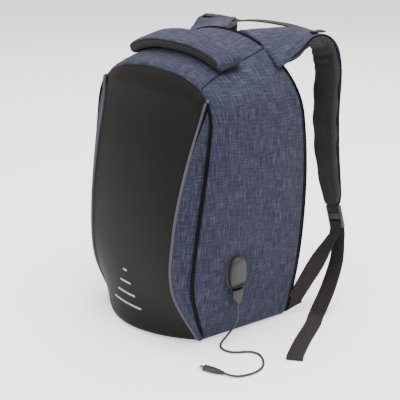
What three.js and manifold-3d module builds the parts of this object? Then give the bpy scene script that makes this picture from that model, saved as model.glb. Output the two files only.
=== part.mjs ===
// Anti theft backpack: hollow fabric body with a bowed front panel, padded back,
// grab handle, two shoulder straps and a side port with its charging cable.
// Millimetres, +Z up, front toward -Y, port side toward +X.
// The origin is the middle of the flat base.
import * as THREE from "three";
import { mergeVertices } from "three/addons/utils/BufferGeometryUtils.js";
import Module from "manifold-3d";

const wasm = await Module();
wasm.setup();

// Body
const bodyHeight = 440;
const backWidth = 302;
const backFootWidth = 264;
const backReach = 103;
const frontReach = 100;
const zipWidth = 276;
const zipFootWidth = 232;
const zipDrop = 43;
const wingStep = 21;
const panelBow = 74;
const sideBulge = 6;
const topBulge = 5;
const bulgeLean = 0.65;
const bulgeRunUp = 48;
const heelRadius = 8;
const wall = 2.5;
const backPadding = 12;
const seamGap = 0.3;
const pipingWidth = 4;
const bindingWidth = 4;
const baseSeamHeight = 5;
const shoulderSeamFront = 107;
const shoulderSeamBack = 80;

// Grab handle
const handleWidth = 42;
const handleCoverThickness = 3;
const handlePadThickness = 7;
const handleRise = 8;
const handleSeat = 0.41;
const handleEnd = 1.54;

// Shoulder straps
const strapWidth = 58;
const strapCoverThickness = 3;
const strapPadThickness = 14;
const strapHang = 66;

// Webbing and its hardware
const webbingWidth = 25;
const webbingThickness = 2;
const lockWidth = 34;
const lockLength = 36;
const lockThickness = 5;
const lockSlot = 5;
const lockSlotPitch = 14.4;
const webbingClearance = 1.5;
const hangLoopWidth = 20;
const hangLoopRise = 6;
const tabFoot = 6;
const tabHeight = 44;
const tabReach = 15;
const tabPointHeight = 14;
const hemThickness = 3;

// Side port, plug and cable
const portWidth = 40;
const portLength = 55;
const portDepth = 11;
const portHeight = 112;
const portSetback = 31;
const socketWidth = 13;
const socketDepth = 6;
const socketLength = 16;
const plugWidth = 16;
const plugThickness = 8;
const plugLength = 18;
const plugTaper = 0.9;
const plugClearance = 0.4;
const plugRelief = 8;
const connectorRelief = 12;
const reliefWall = 0.75;
const cableDiameter = 3.5;
const connectorWidth = 11;
const connectorThickness = 7;
const connectorLength = 20;
const tipWidth = 7;
const tipThickness = 2.2;
const tipLength = 6;

// Reflective bars on the front panel
const barHeight = 3;
const barThickness = 0.8;
const touchGap = 0.3;

// at is a share of bodyHeight; back, zip, step and bow are shares of backReach, frontReach,
// wingStep and panelBow; panel is a share of half the zip width.
const sections = [
  { at: 0.0, back: 0.85, zip: 0.7, step: 0.48, panel: 0.84, bow: 1.0 },
  { at: 0.2, back: 0.97, zip: 0.99, step: 0.9, panel: 0.73, bow: 0.3 },
  { at: 0.4, back: 1.0, zip: 0.96, step: 1.0, panel: 0.745, bow: 0.2 },
  { at: 0.6, back: 0.96, zip: 0.84, step: 0.76, panel: 0.79, bow: 0.18 },
  { at: 0.8, back: 0.83, zip: 0.735, step: 0.1, panel: 0.865, bow: 0.16 },
  { at: 1.0, back: 0.62, zip: 0.67, step: 0.0, panel: 1.05, bow: 0.16 },
];

// Right shoulder strap, from its root over the bend to its lower end. x is a share of half
// the back width, y of strapHang behind the back edge at the root, z of bodyHeight, wide of
// strapWidth, thick of the full thickness, crown of strapWidth; roll and yaw are degrees.
const strapRows = [
  { x: 0.49, y: -0.03, z: 0.955, wide: 2.0, thick: 0.5, crown: 0.15, roll: 20, yaw: 0 },
  { x: 0.51, y: 0.24, z: 0.954, wide: 1.84, thick: 0.55, crown: 0.12, roll: 19, yaw: 0 },
  { x: 0.56, y: 0.58, z: 0.957, wide: 1.62, thick: 0.65, crown: 0.09, roll: 15, yaw: 0 },
  { x: 0.63, y: 0.92, z: 0.962, wide: 1.37, thick: 0.75, crown: 0.05, roll: 9, yaw: -3 },
  { x: 0.71, y: 1.15, z: 0.961, wide: 1.17, thick: 0.85, crown: 0.03, roll: 4, yaw: -7 },
  { x: 0.76, y: 1.3, z: 0.935, wide: 1.04, thick: 0.95, crown: 0.0, roll: 0, yaw: -11 },
  { x: 0.785, y: 1.37, z: 0.89, wide: 1.0, thick: 1.0, crown: 0.0, roll: 0, yaw: -14 },
  { x: 0.795, y: 1.38, z: 0.83, wide: 1.0, thick: 1.0, crown: 0.0, roll: 0, yaw: -15 },
  { x: 0.8, y: 1.36, z: 0.75, wide: 0.98, thick: 1.0, crown: 0.0, roll: 0, yaw: -15 },
  { x: 0.81, y: 1.36, z: 0.67, wide: 0.96, thick: 1.0, crown: 0.0, roll: 0, yaw: -15 },
  { x: 0.83, y: 1.38, z: 0.58, wide: 0.92, thick: 1.0, crown: 0.0, roll: 0, yaw: -15 },
  { x: 0.87, y: 1.4, z: 0.5, wide: 0.84, thick: 0.95, crown: 0.0, roll: 2, yaw: -14 },
  { x: 0.915, y: 1.42, z: 0.435, wide: 0.74, thick: 0.85, crown: 0.0, roll: 3, yaw: -12 },
  { x: 0.96, y: 1.43, z: 0.385, wide: 0.64, thick: 0.7, crown: 0.0, roll: 4, yaw: -10 },
];

// Lower webbing from the base tab up to the lock: share of the way, then how far its width
// has turned from the tab's slant to the lock's.
const lowerWebRows = [
  { share: 0.0, turned: 0.0 },
  { share: 0.3, turned: 0.15 },
  { share: 0.6, turned: 0.5 },
  { share: 0.85, turned: 0.9 },
  { share: 1.0, turned: 1.0 },
];

// Places of the hang loop across each strap, then its bridge between the straps: x is a
// share of the strap's inner edge, rise of hangLoopRise.
const loopSeats = [0.8, 0.4, 0, -0.5, -0.95];
const loopBridge = [
  { x: 0.75, rise: 0.45 },
  { x: 0.45, rise: 0.85 },
  { x: 0.2, rise: 1.0 },
];

// Loose tails below the locks, down to the floor: x is a share of half the back width,
// y of backReach, z of the lock's height; the turn is their width's way on the floor.
const rightTailRows = [
  { x: 1.03, y: 1.71, z: 0.74 },
  { x: 1.045, y: 1.66, z: 0.5 },
  { x: 1.06, y: 1.48, z: 0.24 },
  { x: 1.08, y: 1.29, z: 0.08 },
  { x: 1.11, y: 1.14, z: 0.0 },
  { x: 1.22, y: 0.9, z: 0.0 },
  { x: 1.4, y: 0.4, z: 0.0 },
  { x: 1.55, y: 0.03, z: 0.0 },
  { x: 1.62, y: -0.1, z: 0.0 },
];
const rightTailTurn = new THREE.Vector3(0.84, 0.54, 0);
const leftTailTurn = new THREE.Vector3(-0.08, 0.99, 0);
const leftTailRows = [
  { x: 1.03, y: 1.71, z: 0.74 },
  { x: 1.02, y: 1.68, z: 0.48 },
  { x: 0.99, y: 1.62, z: 0.22 },
  { x: 0.94, y: 1.57, z: 0.08 },
  { x: 0.86, y: 1.54, z: 0.0 },
  { x: 0.7, y: 1.5, z: 0.0 },
  { x: 0.45, y: 1.46, z: 0.0 },
  { x: 0.2, y: 1.4, z: 0.0 },
  { x: 0.1, y: 1.38, z: 0.0 },
];

// Reflective bars: z is a share of bodyHeight, length of the zip width.
const barRows = [
  { z: 0.214, length: 0.033 },
  { z: 0.17, length: 0.095 },
  { z: 0.128, length: 0.16 },
  { z: 0.089, length: 0.25 },
];

// Cable route from the plug to the connector, laid on the floor past the first bend.
const cableRoute = [
  [145.5, -31, 57.9],
  [145.5, -30.6, 48],
  [145.5, -31, 38],
  [144.5, -34, 28],
  [142.5, -41, 18],
  [141, -50, 9.5],
  [141.5, -59, 4],
  [148, -66, 1.9],
  [159, -68, 1.9],
  [170, -64, 1.9],
  [178, -54, 1.9],
  [186, -43, 1.9],
  [197, -38, 1.9],
  [209, -41, 1.9],
  [221, -49, 1.9],
  [230, -61, 1.9],
  [233, -76, 1.9],
  [231, -90, 1.9],
  [226, -102, 2.2],
  [218, -110, 3.2],
  [209, -113.5, 3.7],
];

const navy = { color: 0x3a4560, roughness: 0.95, metalness: 0 };
const black = { color: 0x1d1b1d, roughness: 0.6, metalness: 0 };
const mesh = { color: 0x17161a, roughness: 0.95, metalness: 0 };
const webbing = { color: 0x231f20, roughness: 0.9, metalness: 0 };
const piping = { color: 0x55525f, roughness: 0.7, metalness: 0 };
const plastic = { color: 0x2b2b2f, roughness: 0.5, metalness: 0 };
const rubber = { color: 0x2e2e32, roughness: 0.75, metalness: 0 };
const reflective = { color: 0x9a9a9e, roughness: 0.4, metalness: 0.2 };

const group = new THREE.Group();

function vec(x, y, z) {
  return new THREE.Vector3(x, y, z);
}

function lerp(a, b, t) {
  return a + (b - a) * t;
}

// Smooth value of one column of a table, at a share between its rows.
function column(table, name, at) {
  const last = table.length - 1;
  const share = Math.min(Math.max(at, table[0].at), table[last].at);
  let row = 0;
  while (row < last - 1 && share > table[row + 1].at) {
    row += 1;
  }
  const slope = (k) => {
    const low = table[Math.max(k - 1, 0)];
    const high = table[Math.min(k + 1, last)];
    return (high[name] - low[name]) / (high.at - low.at);
  };
  const span = table[row + 1].at - table[row].at;
  const t = (share - table[row].at) / span;
  const start = table[row][name];
  const end = table[row + 1][name];
  const ease = t * t * (3 - 2 * t);
  const leave = t * (1 - t) * (1 - t) * slope(row) * span;
  const arrive = t * t * (t - 1) * slope(row + 1) * span;
  return lerp(start, end, ease) + leave + arrive;
}

// Two triangles for each cell; a surface faces along its columns crossed with its rows.
function gridTriangles(rows) {
  const triangles = [];
  for (let r = 0; r < rows.length - 1; r += 1) {
    for (let c = 0; c < rows[r].length - 1; c += 1) {
      triangles.push([rows[r][c], rows[r][c + 1], rows[r + 1][c]]);
      triangles.push([rows[r][c + 1], rows[r + 1][c + 1], rows[r + 1][c]]);
    }
  }
  return triangles;
}

// One closed geometry, facing out, without the triangles that have no area.
function closedGeometry(triangles) {
  const positions = triangles.flat().flatMap((p) => [p.x, p.y, p.z]);
  const loose = new THREE.BufferGeometry();
  loose.setAttribute("position", new THREE.Float32BufferAttribute(positions, 3));
  const merged = mergeVertices(loose, 0.001);
  const place = merged.getAttribute("position");
  const index = merged.getIndex().array;
  const corner = (k) => new THREE.Vector3().fromBufferAttribute(place, index[k]);
  let kept = [];
  let volume = 0;
  for (let k = 0; k < index.length; k += 3) {
    const [a, b, c] = [index[k], index[k + 1], index[k + 2]];
    if (a !== b && b !== c && c !== a) {
      kept.push([a, b, c]);
      volume += corner(k).dot(corner(k + 1).cross(corner(k + 2)));
    }
  }
  if (volume < 0) {
    kept = kept.map(([a, b, c]) => [a, c, b]);
  }
  merged.setIndex(kept.flat());
  return merged;
}

function solidOf(geometry) {
  const bare = geometry.clone();
  bare.deleteAttribute("normal");
  bare.deleteAttribute("uv");
  const merged = mergeVertices(bare, 0.001);
  const vertProperties = new Float32Array(merged.getAttribute("position").array);
  const triVerts = new Uint32Array(merged.getIndex().array);
  return new wasm.Manifold(new wasm.Mesh({ numProp: 3, vertProperties, triVerts }));
}

function geometryOf(solid) {
  const cut = solid.getMesh();
  const geometry = new THREE.BufferGeometry();
  const place = new THREE.BufferAttribute(new Float32Array(cut.vertProperties), cut.numProp);
  geometry.setAttribute("position", place);
  geometry.setIndex(new THREE.BufferAttribute(new Uint32Array(cut.triVerts), 1));
  return geometry;
}

function add(name, geometry, finish) {
  const shown = geometry.index ? geometry.toNonIndexed() : geometry;
  shown.computeVertexNormals();
  const piece = new THREE.Mesh(shown, new THREE.MeshStandardMaterial(finish));
  piece.name = name;
  group.add(piece);
}

function mirrored(geometry) {
  const copy = geometry.clone().applyMatrix4(new THREE.Matrix4().makeScale(-1, 1, 1));
  const order = copy.index.array;
  const turned = [];
  for (let k = 0; k < order.length; k += 3) {
    turned.push(order[k], order[k + 2], order[k + 1]);
  }
  copy.setIndex(turned);
  return copy;
}

// A straight solid of a 2D outline: its first and second axis, its direction and its ends.
function prism(points, first, second, from, to) {
  const shape = new THREE.Shape(points.map(([a, b]) => new THREE.Vector2(a, b)));
  const depth = to - from;
  const geometry = new THREE.ExtrudeGeometry(shape, { depth, bevelEnabled: false });
  geometry.translate(0, 0, from);
  const along = first.clone().cross(second);
  geometry.applyMatrix4(new THREE.Matrix4().makeBasis(first, second, along));
  return geometry;
}

// Outlines in the X-Z plane: straight-sided below the shoulder, a rounded arch above it.
const backLine = {
  half: backWidth / 2,
  foot: backFootWidth / 2,
  top: bodyHeight,
  shoulder: 0.74 * bodyHeight,
  power: 2.1,
};
const zipTop = bodyHeight - zipDrop;
const zipLine = {
  half: zipWidth / 2,
  foot: zipFootWidth / 2,
  top: zipTop,
  shoulder: 0.796 * zipTop,
  power: 2.63,
};

// Rounding of the edge round the base: how far it draws in at a height above the base.
function heel(height, radius) {
  const rest = Math.max(radius - height, 0);
  return radius - Math.sqrt(radius * radius - rest * rest);
}

// A point of an outline: q is 0 at the base, 1 at the shoulder and 2 at the top.
function outlinePoint(line, q, inset) {
  if (q < 1) {
    const z = lerp(inset, line.shoulder, q);
    const spread = line.half - (line.half - line.foot) * (1 - q) * (1 - q);
    const round = heel(z - inset, heelRadius - inset);
    return { x: spread - inset - round, z, outX: 1, outZ: 0, angle: Math.PI / 2 };
  }
  const angle = ((2 - q) * Math.PI) / 2;
  const power = 2 / line.power;
  const x = (line.half - inset) * Math.sin(angle) ** power;
  const z = line.shoulder + (line.top - inset - line.shoulder) * Math.cos(angle) ** power;
  return { x, z, outX: Math.sin(angle), outZ: Math.cos(angle), angle };
}

function backY(z) {
  return backReach * column(sections, "back", z / bodyHeight);
}

function zipY(z) {
  return -frontReach * column(sections, "zip", z / bodyHeight);
}

function panelX(z) {
  return (zipWidth / 2) * column(sections, "panel", z / bodyHeight);
}

// Outer skin between the zip line at t = 0 and the back edge at t = 1.
function skin(q, t, inset = 0) {
  const front = outlinePoint(zipLine, q, inset);
  const back = outlinePoint(backLine, q, inset);
  const fullness = Math.sin(Math.PI * t ** bulgeLean) * Math.min(1, back.z / bulgeRunUp);
  const flank = Math.sin(front.angle) ** 2;
  const bulge = fullness * lerp(topBulge, sideBulge, flank);
  const out = vec(front.outX, 0, front.outZ);
  const start = vec(front.x, zipY(front.z) + inset, front.z);
  const backInset = inset > 0 ? -1 : inset;
  const backHeel = heel(back.z - inset, heelRadius - inset);
  const end = vec(back.x, backY(back.z) - backInset - backHeel, back.z);
  return start.lerp(end, t).addScaledVector(out, bulge);
}

// Edge of the bowed front panel, level with the zip line's point at q.
function panelEdge(q, inset = 0) {
  const front = outlinePoint(zipLine, q, inset);
  const step = wingStep * column(sections, "step", front.z / bodyHeight);
  const x = Math.min(panelX(front.z) - inset, front.x);
  const round = heel(front.z - inset, heelRadius - inset);
  return vec(x, zipY(front.z) - step + inset + round, front.z);
}

// How far the front panel bows forward of its edge at a share across it.
function bowAt(edge, across) {
  const reach = (2 * edge.x) / zipWidth;
  const bow = panelBow * column(sections, "bow", edge.z / bodyHeight);
  return bow * (1 - across * across) * reach * reach;
}

// How far the back padding stands out at a share across and up the back.
function paddingAt(across, rise) {
  const height = 2 * rise - 1;
  return backPadding * Math.sqrt((1 - across ** 6) * Math.max(0, 1 - height ** 8));
}

const heelSteps = [0, 0.008, 0.025];
const sideSteps = [0.08, 0.16, 0.28, 0.42, 0.56, 0.7, 0.85];
const archSteps = [1, 1.14, 1.28, 1.42, 1.56, 1.7, 1.82, 1.92, 2];
const outlineSteps = [...heelSteps, ...sideSteps, ...archSteps];
const depthSteps = [1, 0.8, 0.55, 0.3, 0.12, 0];
const columnCount = 8;

function flipX(p) {
  return vec(-p.x, p.y, p.z);
}

// A row of points across, from the left edge to the right, pushed along Y by a function.
function crossRow(edge, push) {
  const row = [];
  for (let c = 0; c <= columnCount; c += 1) {
    const across = (2 * c) / columnCount - 1;
    row.push(vec(edge.x * across, edge.y + push(across), edge.z));
  }
  return row;
}

// The whole body as one solid, drawn in by inset on every side; the back padding is
// only on the outer one.
function bodySolid(inset) {
  const loops = depthSteps.map((t) => outlineSteps.map((q) => skin(q, t, inset)));
  loops.push(outlineSteps.map((q) => panelEdge(q, inset)));
  const last = loops.length - 1;
  const padded = inset <= 0 ? 1 : 0;
  const padding = (edge) => (across) => padded * paddingAt(across, edge.z / bodyHeight);
  const bow = (edge) => (across) => -bowAt(edge, across);
  const frontRows = loops[last].map((edge) => crossRow(edge, bow(edge)));
  const backRows = loops[0].map((edge) => crossRow(edge, padding(edge)).reverse());
  const baseRows = loops.map((loop, j) => {
    const push = j === last ? bow(loop[0]) : () => 0;
    return crossRow(loop[0], push);
  });
  backRows[0] = [...baseRows[0]].reverse();
  const left = loops.map((loop) => loop.map(flipX)).reverse();
  const grids = [loops, left, frontRows, backRows, baseRows];
  return solidOf(closedGeometry(grids.flatMap(gridTriangles)));
}

const axisX = vec(1, 0, 0);
const axisY = vec(0, 1, 0);
const axisZ = vec(0, 0, 1);
const beyond = 2 * bodyHeight;
const heights = [];
for (let share = -0.1; share <= 1.1; share += 0.06) {
  heights.push(share * bodyHeight);
}

// Everything between two surfaces that each give Y at a height.
function depthRegion(nearY, farY) {
  const near = heights.map((z) => [nearY(z), z]);
  const far = heights.map((z) => [farY(z), z]).reverse();
  return solidOf(prism([...near, ...far], axisY, axisZ, -beyond, beyond));
}

// Everything between two edges on the right that each give X at a height.
function widthRegion(innerX, outerX) {
  const inner = heights.map((z) => [innerX(z), z]).reverse();
  const outer = heights.map((z) => [outerX(z), z]);
  return solidOf(prism([...inner, ...outer], axisX, axisZ, -beyond, beyond));
}

function boxSolid(low, high) {
  const size = high.clone().sub(low);
  const middle = low.clone().add(high).multiplyScalar(0.5);
  const geometry = new THREE.BoxGeometry(size.x, size.y, size.z);
  return solidOf(geometry.translate(middle.x, middle.y, middle.z));
}

const outerBody = bodySolid(0);
const clearBody = bodySolid(-seamGap);
const shell = outerBody.subtract(bodySolid(wall));
const halfGap = seamGap / 2;

function backCutY(z) {
  return backY(z) - heel(Math.max(z, 0), heelRadius);
}

function bodyPanels() {
  const front = shell.intersect(depthRegion(() => -beyond, (z) => zipY(z) - halfGap));
  const band = shell.intersect(
    depthRegion(
      (z) => zipY(z) + halfGap,
      (z) => backCutY(z) - bindingWidth - halfGap,
    ),
  );
  const binding = depthRegion(
    (z) => backCutY(z) - bindingWidth + halfGap,
    (z) => backCutY(z) - halfGap,
  );
  const back = shell.intersect(depthRegion((z) => backCutY(z) + halfGap, () => beyond));
  add("back_panel", geometryOf(back), mesh);
  add("back_binding", geometryOf(shell.intersect(binding)), webbing);

  const halfPiping = pipingWidth / 2;
  const panelRegion = widthRegion(
    (z) => -panelX(z) + halfPiping + halfGap,
    (z) => panelX(z) - halfPiping - halfGap,
  );
  add("front_panel", geometryOf(front.intersect(panelRegion)), black);
  const pipingRegion = widthRegion(
    (z) => panelX(z) - halfPiping + halfGap,
    (z) => panelX(z) + halfPiping - halfGap,
  );
  const pipingStrip = geometryOf(front.intersect(pipingRegion));
  add("panel_piping_right", pipingStrip, piping);
  add("panel_piping_left", mirrored(pipingStrip), piping);
  const wingRegion = widthRegion((z) => panelX(z) + halfPiping + halfGap, () => beyond);
  const wing = geometryOf(front.intersect(wingRegion));
  add("front_wing_right", wing, navy);
  add("front_wing_left", mirrored(wing), navy);

  const baseRegion = boxSolid(
    vec(-beyond, -beyond, -beyond),
    vec(beyond, beyond, baseSeamHeight - halfGap),
  );
  add("bottom_panel", geometryOf(band.intersect(baseRegion)), navy);
  const slope = (shoulderSeamBack - shoulderSeamFront) / (backReach + frontReach);
  const seamX = (y) => shoulderSeamFront + slope * (y - zipY(0));
  const ahead = -2 * frontReach;
  const behind = 2 * backReach;
  const topOutline = (grow) => [
    [-seamX(ahead) - grow, ahead],
    [seamX(ahead) + grow, ahead],
    [seamX(behind) + grow, behind],
    [-seamX(behind) - grow, behind],
  ];
  const topRegion = (grow) =>
    solidOf(prism(topOutline(grow), axisX, axisY, bodyHeight / 2, beyond));
  add("top_panel", geometryOf(band.intersect(topRegion(-halfGap))), navy);
  const rightRegion = boxSolid(
    vec(0, -beyond, baseSeamHeight + halfGap),
    vec(beyond, beyond, beyond),
  );
  const side = geometryOf(band.intersect(rightRegion).subtract(topRegion(halfGap)));
  add("side_panel_right", side, navy);
  add("side_panel_left", mirrored(side), navy);
}

// Points across half a section of webbing, and of a crowned strap.
const flatRing = [-1, -0.9, 0.9, 1];
const crownedRing = [-1, -0.92, -0.5, 0, 0.5, 0.92, 1];

// Closed solid through a list of stations, each with its place, frame and size.
// lift raises it off the station's middle; crown lets the edges drop.
function sweep(stations, ringShares = flatRing) {
  const rings = stations.map((s) => {
    const point = (u, v) => {
      const soft = Math.abs(u) > 0.99 ? 0.4 : 1;
      const height = s.lift + (v * soft * s.thick) / 2 - s.crown * u * u;
      return s.at
        .clone()
        .addScaledVector(s.across, (u * s.wide) / 2)
        .addScaledVector(s.up, height);
    };
    const top = ringShares.map((u) => point(u, 1));
    const bottom = ringShares.map((u) => point(u, -1));
    return { top, bottom };
  });
  const loops = rings.map(({ top, bottom }) => [...top, ...[...bottom].reverse(), top[0]]);
  const first = rings[0];
  const last = rings[rings.length - 1];
  const startCap = gridTriangles([first.bottom, first.top]);
  const endCap = gridTriangles([last.top, last.bottom]);
  return closedGeometry([...gridTriangles(loops), ...startCap, ...endCap]);
}

// A row with its frame: across is kept square to the direction and near the row's hint.
function squared(row, along) {
  const across = row.hint.clone().addScaledVector(along, -row.hint.dot(along)).normalize();
  return { lift: 0, crown: 0, ...row, along, across, up: across.clone().cross(along) };
}

// Frames along a list of places: across is kept square to the path and near the hint.
function framed(rows) {
  return rows.map((row, k) => {
    const before = rows[Math.max(k - 1, 0)].at;
    const after = rows[Math.min(k + 1, rows.length - 1)].at;
    return squared(row, after.clone().sub(before).normalize());
  });
}

// A sweep whose sections keep clear of the body that it is sewn to.
function sewnSweep(stations, ring) {
  return solidOf(sweep(stations, ring)).subtract(clearBody);
}

// Station of the grab handle at q on the right, or on the left when side is -1.
function handleStation(q, side) {
  const at = skin(q, handleSeat);
  const spread = at.x / skin(handleEnd, handleSeat).x;
  const hint = skin(q, handleSeat + 0.05).sub(skin(q, handleSeat - 0.05)).normalize();
  const rise = handleRise * (1 - spread ** 4);
  const place = side < 0 ? flipX(at) : at;
  return { at: place, hint: side < 0 ? flipX(hint) : hint, wide: handleWidth, rise };
}

function grabHandle() {
  const steps = [0, 0.17, 0.35, 0.52, 0.7, 0.85].map((share) => lerp(handleEnd, 2, share));
  const right = steps.map((q) => handleStation(q, 1));
  const left = [...steps].reverse().map((q) => handleStation(q, -1));
  const rows = framed([...right, handleStation(2, 1), ...left]);
  const layer = (thick, bottom) =>
    rows.map((row) => ({ ...row, thick, lift: row.rise + bottom + thick / 2 }));
  const coverBottom = handlePadThickness + 2 * seamGap;
  const pad = sewnSweep(layer(handlePadThickness, 0), crownedRing);
  const cover = sewnSweep(layer(handleCoverThickness, coverBottom), crownedRing);
  add("handle_pad", geometryOf(pad), mesh);
  add("handle_cover", geometryOf(cover), navy);
}

const fullStrap = strapCoverThickness + strapPadThickness;
const rootZ = strapRows[0].z * bodyHeight;
const strapStations = framed(
  strapRows.map((row) => {
    const roll = THREE.MathUtils.degToRad(row.roll);
    const yaw = THREE.MathUtils.degToRad(row.yaw);
    const reach = backY(rootZ) + row.y * strapHang;
    return {
      at: vec((row.x * backWidth) / 2, reach, row.z * bodyHeight),
      hint: vec(Math.cos(yaw) * Math.cos(roll), Math.sin(yaw), -Math.sin(roll)),
      wide: row.wide * strapWidth,
      share: row.thick,
      crown: row.crown * strapWidth,
    };
  }),
);

// One layer of the strap: its thickness and how far its bottom lies above the strap's.
function strapLayer(thickness, bottom, grow) {
  return strapStations.map((s) => {
    const thick = thickness * s.share + 2 * grow;
    const lift = (bottom + thickness / 2) * s.share;
    return { ...s, wide: s.wide + 2 * grow, thick, lift };
  });
}

const strapCoverBottom = strapPadThickness + 2 * seamGap;
const strapTop = strapCoverBottom + strapCoverThickness;

function shoulderStraps() {
  const coverLayer = strapLayer(strapCoverThickness, strapCoverBottom, 0);
  const pad = geometryOf(sewnSweep(strapLayer(strapPadThickness, 0, 0), crownedRing));
  const cover = geometryOf(sewnSweep(coverLayer, crownedRing));
  add("strap_pad_right", pad, mesh);
  add("strap_pad_left", mirrored(pad), mesh);
  add("strap_cover_right", cover, navy);
  add("strap_cover_left", mirrored(cover), navy);
}

// Webbing that is sewn across both straps and bridges the space between them.
function hangLoop() {
  const seat = strapStations[4];
  const onStrap = (u) => {
    const height = strapTop * seat.share + 4 * touchGap + webbingThickness / 2;
    return seat.at
      .clone()
      .addScaledVector(seat.across, (u * seat.wide) / 2)
      .addScaledVector(seat.up, height - seat.crown * u * u);
  };
  const seats = loopSeats.map(onStrap);
  const inner = seats[seats.length - 1];
  const bridge = ({ x, rise }) => vec(inner.x * x, inner.y, inner.z + rise * hangLoopRise);
  const right = [...seats, ...loopBridge.map(bridge)];
  const left = [...right].reverse().map(flipX);
  const places = [...right, bridge({ x: 0, rise: 1 }), ...left];
  const size = { hint: axisY, wide: hangLoopWidth, thick: webbingThickness };
  const rows = framed(places.map((at) => ({ at, ...size })));
  const coverClear = strapLayer(strapCoverThickness, strapCoverBottom, 2 * touchGap);
  const strapClear = sweep(coverClear, crownedRing);
  const clear = solidOf(strapClear).add(solidOf(mirrored(strapClear)));
  add("hang_loop", geometryOf(solidOf(sweep(rows)).subtract(clear)), webbing);
}

const strapEnd = strapStations[strapStations.length - 1];
const lockReach = touchGap + lockLength / 2;
const lockMiddle = strapEnd.at
  .clone()
  .addScaledVector(strapEnd.up, (strapTop * strapEnd.share) / 2)
  .addScaledVector(strapEnd.along, lockReach);

function rectangle(Kind, wide, high, middle) {
  const path = new Kind();
  path.moveTo(-wide / 2, middle - high / 2);
  path.lineTo(wide / 2, middle - high / 2);
  path.lineTo(wide / 2, middle + high / 2);
  path.lineTo(-wide / 2, middle + high / 2);
  path.closePath();
  return path;
}

// Ladder lock: a flat frame of three bars with two slots for the webbing.
function ladderLock() {
  const frame = rectangle(THREE.Shape, lockWidth, lockLength, 0);
  const slotWide = webbingWidth + webbingClearance;
  for (const side of [-1, 1]) {
    const middle = (side * lockSlotPitch) / 2;
    frame.holes.push(rectangle(THREE.Path, slotWide, lockSlot, middle));
  }
  const depth = lockThickness;
  const geometry = new THREE.ExtrudeGeometry(frame, { depth, bevelEnabled: false });
  geometry.translate(0, 0, -depth / 2);
  const turn = new THREE.Matrix4().makeBasis(
    strapEnd.across,
    strapEnd.along,
    strapEnd.across.clone().cross(strapEnd.along),
  );
  geometry.applyMatrix4(turn.setPosition(lockMiddle));
  const solid = geometryOf(solidOf(geometry));
  add("ladder_lock_right", solid, plastic);
  add("ladder_lock_left", mirrored(solid), plastic);
}

// Tab in the back seam near the base, and the webbing from it up to the lock.
function lowerWebbing() {
  const foot = skin(tabFoot / zipLine.shoulder, 1);
  const head = skin((tabFoot + tabHeight) / zipLine.shoulder, 1);
  const out = vec(head.x - foot.x, head.y - foot.y, 0).normalize();
  const headOut = out.dot(head.clone().sub(foot));
  const pointOut = headOut + tabReach;
  const outline = [
    [-tabReach, foot.z],
    [0, foot.z],
    [pointOut, foot.z + tabPointHeight],
    [headOut, head.z],
    [-tabReach, head.z],
  ];
  const halfThick = webbingThickness / 2;
  const plate = prism(outline, out, axisZ, -halfThick, halfThick);
  plate.translate(foot.x, foot.y, 0);
  const tabSolid = geometryOf(solidOf(plate).subtract(clearBody));
  add("base_tab_right", tabSolid, webbing);
  add("base_tab_left", mirrored(tabSolid), webbing);

  const point = foot.clone().addScaledVector(out, pointOut).setZ(foot.z + tabPointHeight);
  const middle = head.clone().lerp(point, 0.5);
  const lockFoot = lockMiddle.clone().addScaledVector(strapEnd.along, lockReach);
  const along = lockFoot.clone().sub(middle).normalize();
  const slant = point.clone().sub(head).normalize();
  const start = middle.addScaledVector(along, tabReach / 2);
  const end = lockFoot.addScaledVector(strapEnd.along, 1.5 * webbingThickness);
  const web = framed(
    lowerWebRows.map((row) => ({
      at: start.clone().lerp(end, row.share),
      hint: slant.clone().lerp(strapEnd.across, row.turned),
      wide: webbingWidth,
      thick: webbingThickness,
    })),
  );
  const webSolid = sweep(web);
  add("lower_webbing_right", webSolid, webbing);
  add("lower_webbing_left", mirrored(webSolid), webbing);
}

// Loose end of the webbing: from the back of the lock down to the floor and along it.
function tailSweep(rows, floorTurn) {
  const offset = lockThickness / 2 + 2 * touchGap + webbingThickness / 2;
  const top = lockMiddle.clone().addScaledVector(strapEnd.up, offset);
  const low = top.clone().addScaledVector(strapEnd.along, lockLength / 2);
  const places = rows.map((row) => {
    const height = row.z * lockMiddle.z + webbingThickness / 2;
    return vec((row.x * backWidth) / 2, row.y * backReach, height);
  });
  const all = [top, low, ...places];
  const size = { wide: webbingWidth, thick: webbingThickness };
  const stations = framed(
    all.map((at, k) => {
      const share = Math.min(1, Math.max(0, k - 1) / 4);
      return { at, hint: strapEnd.across.clone().lerp(floorTurn, share), ...size };
    }),
  );
  const hem = (hemThickness - webbingThickness) / 2;
  stations.slice(-2).forEach((s) => {
    s.thick = hemThickness;
    s.lift = hem * Math.sign(s.up.z);
  });
  return sweep(stations);
}

function looseTails() {
  add("strap_tail_right", tailSweep(rightTailRows, rightTailTurn), webbing);
  add("strap_tail_left", mirrored(tailSweep(leftTailRows, leftTailTurn)), webbing);
}

// Oval in a plane, as corner points.
function oval(halfWide, halfHigh, power, count) {
  const points = [];
  for (let k = 0; k < count; k += 1) {
    const angle = (2 * Math.PI * k) / count;
    const c = Math.cos(angle);
    const s = Math.sin(angle);
    const x = halfWide * Math.sign(c) * Math.abs(c) ** (2 / power);
    const y = halfHigh * Math.sign(s) * Math.abs(s) ** (2 / power);
    points.push(new THREE.Vector2(x, y));
  }
  return points;
}

const portSeatT = (-portSetback - zipY(portHeight)) / (backY(portHeight) - zipY(portHeight));
const portSeat = skin(portHeight / zipLine.shoulder, portSeatT);
const socketX = portSeat.x + portDepth / 2;
const portFoot = portHeight - portLength / 2;

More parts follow.
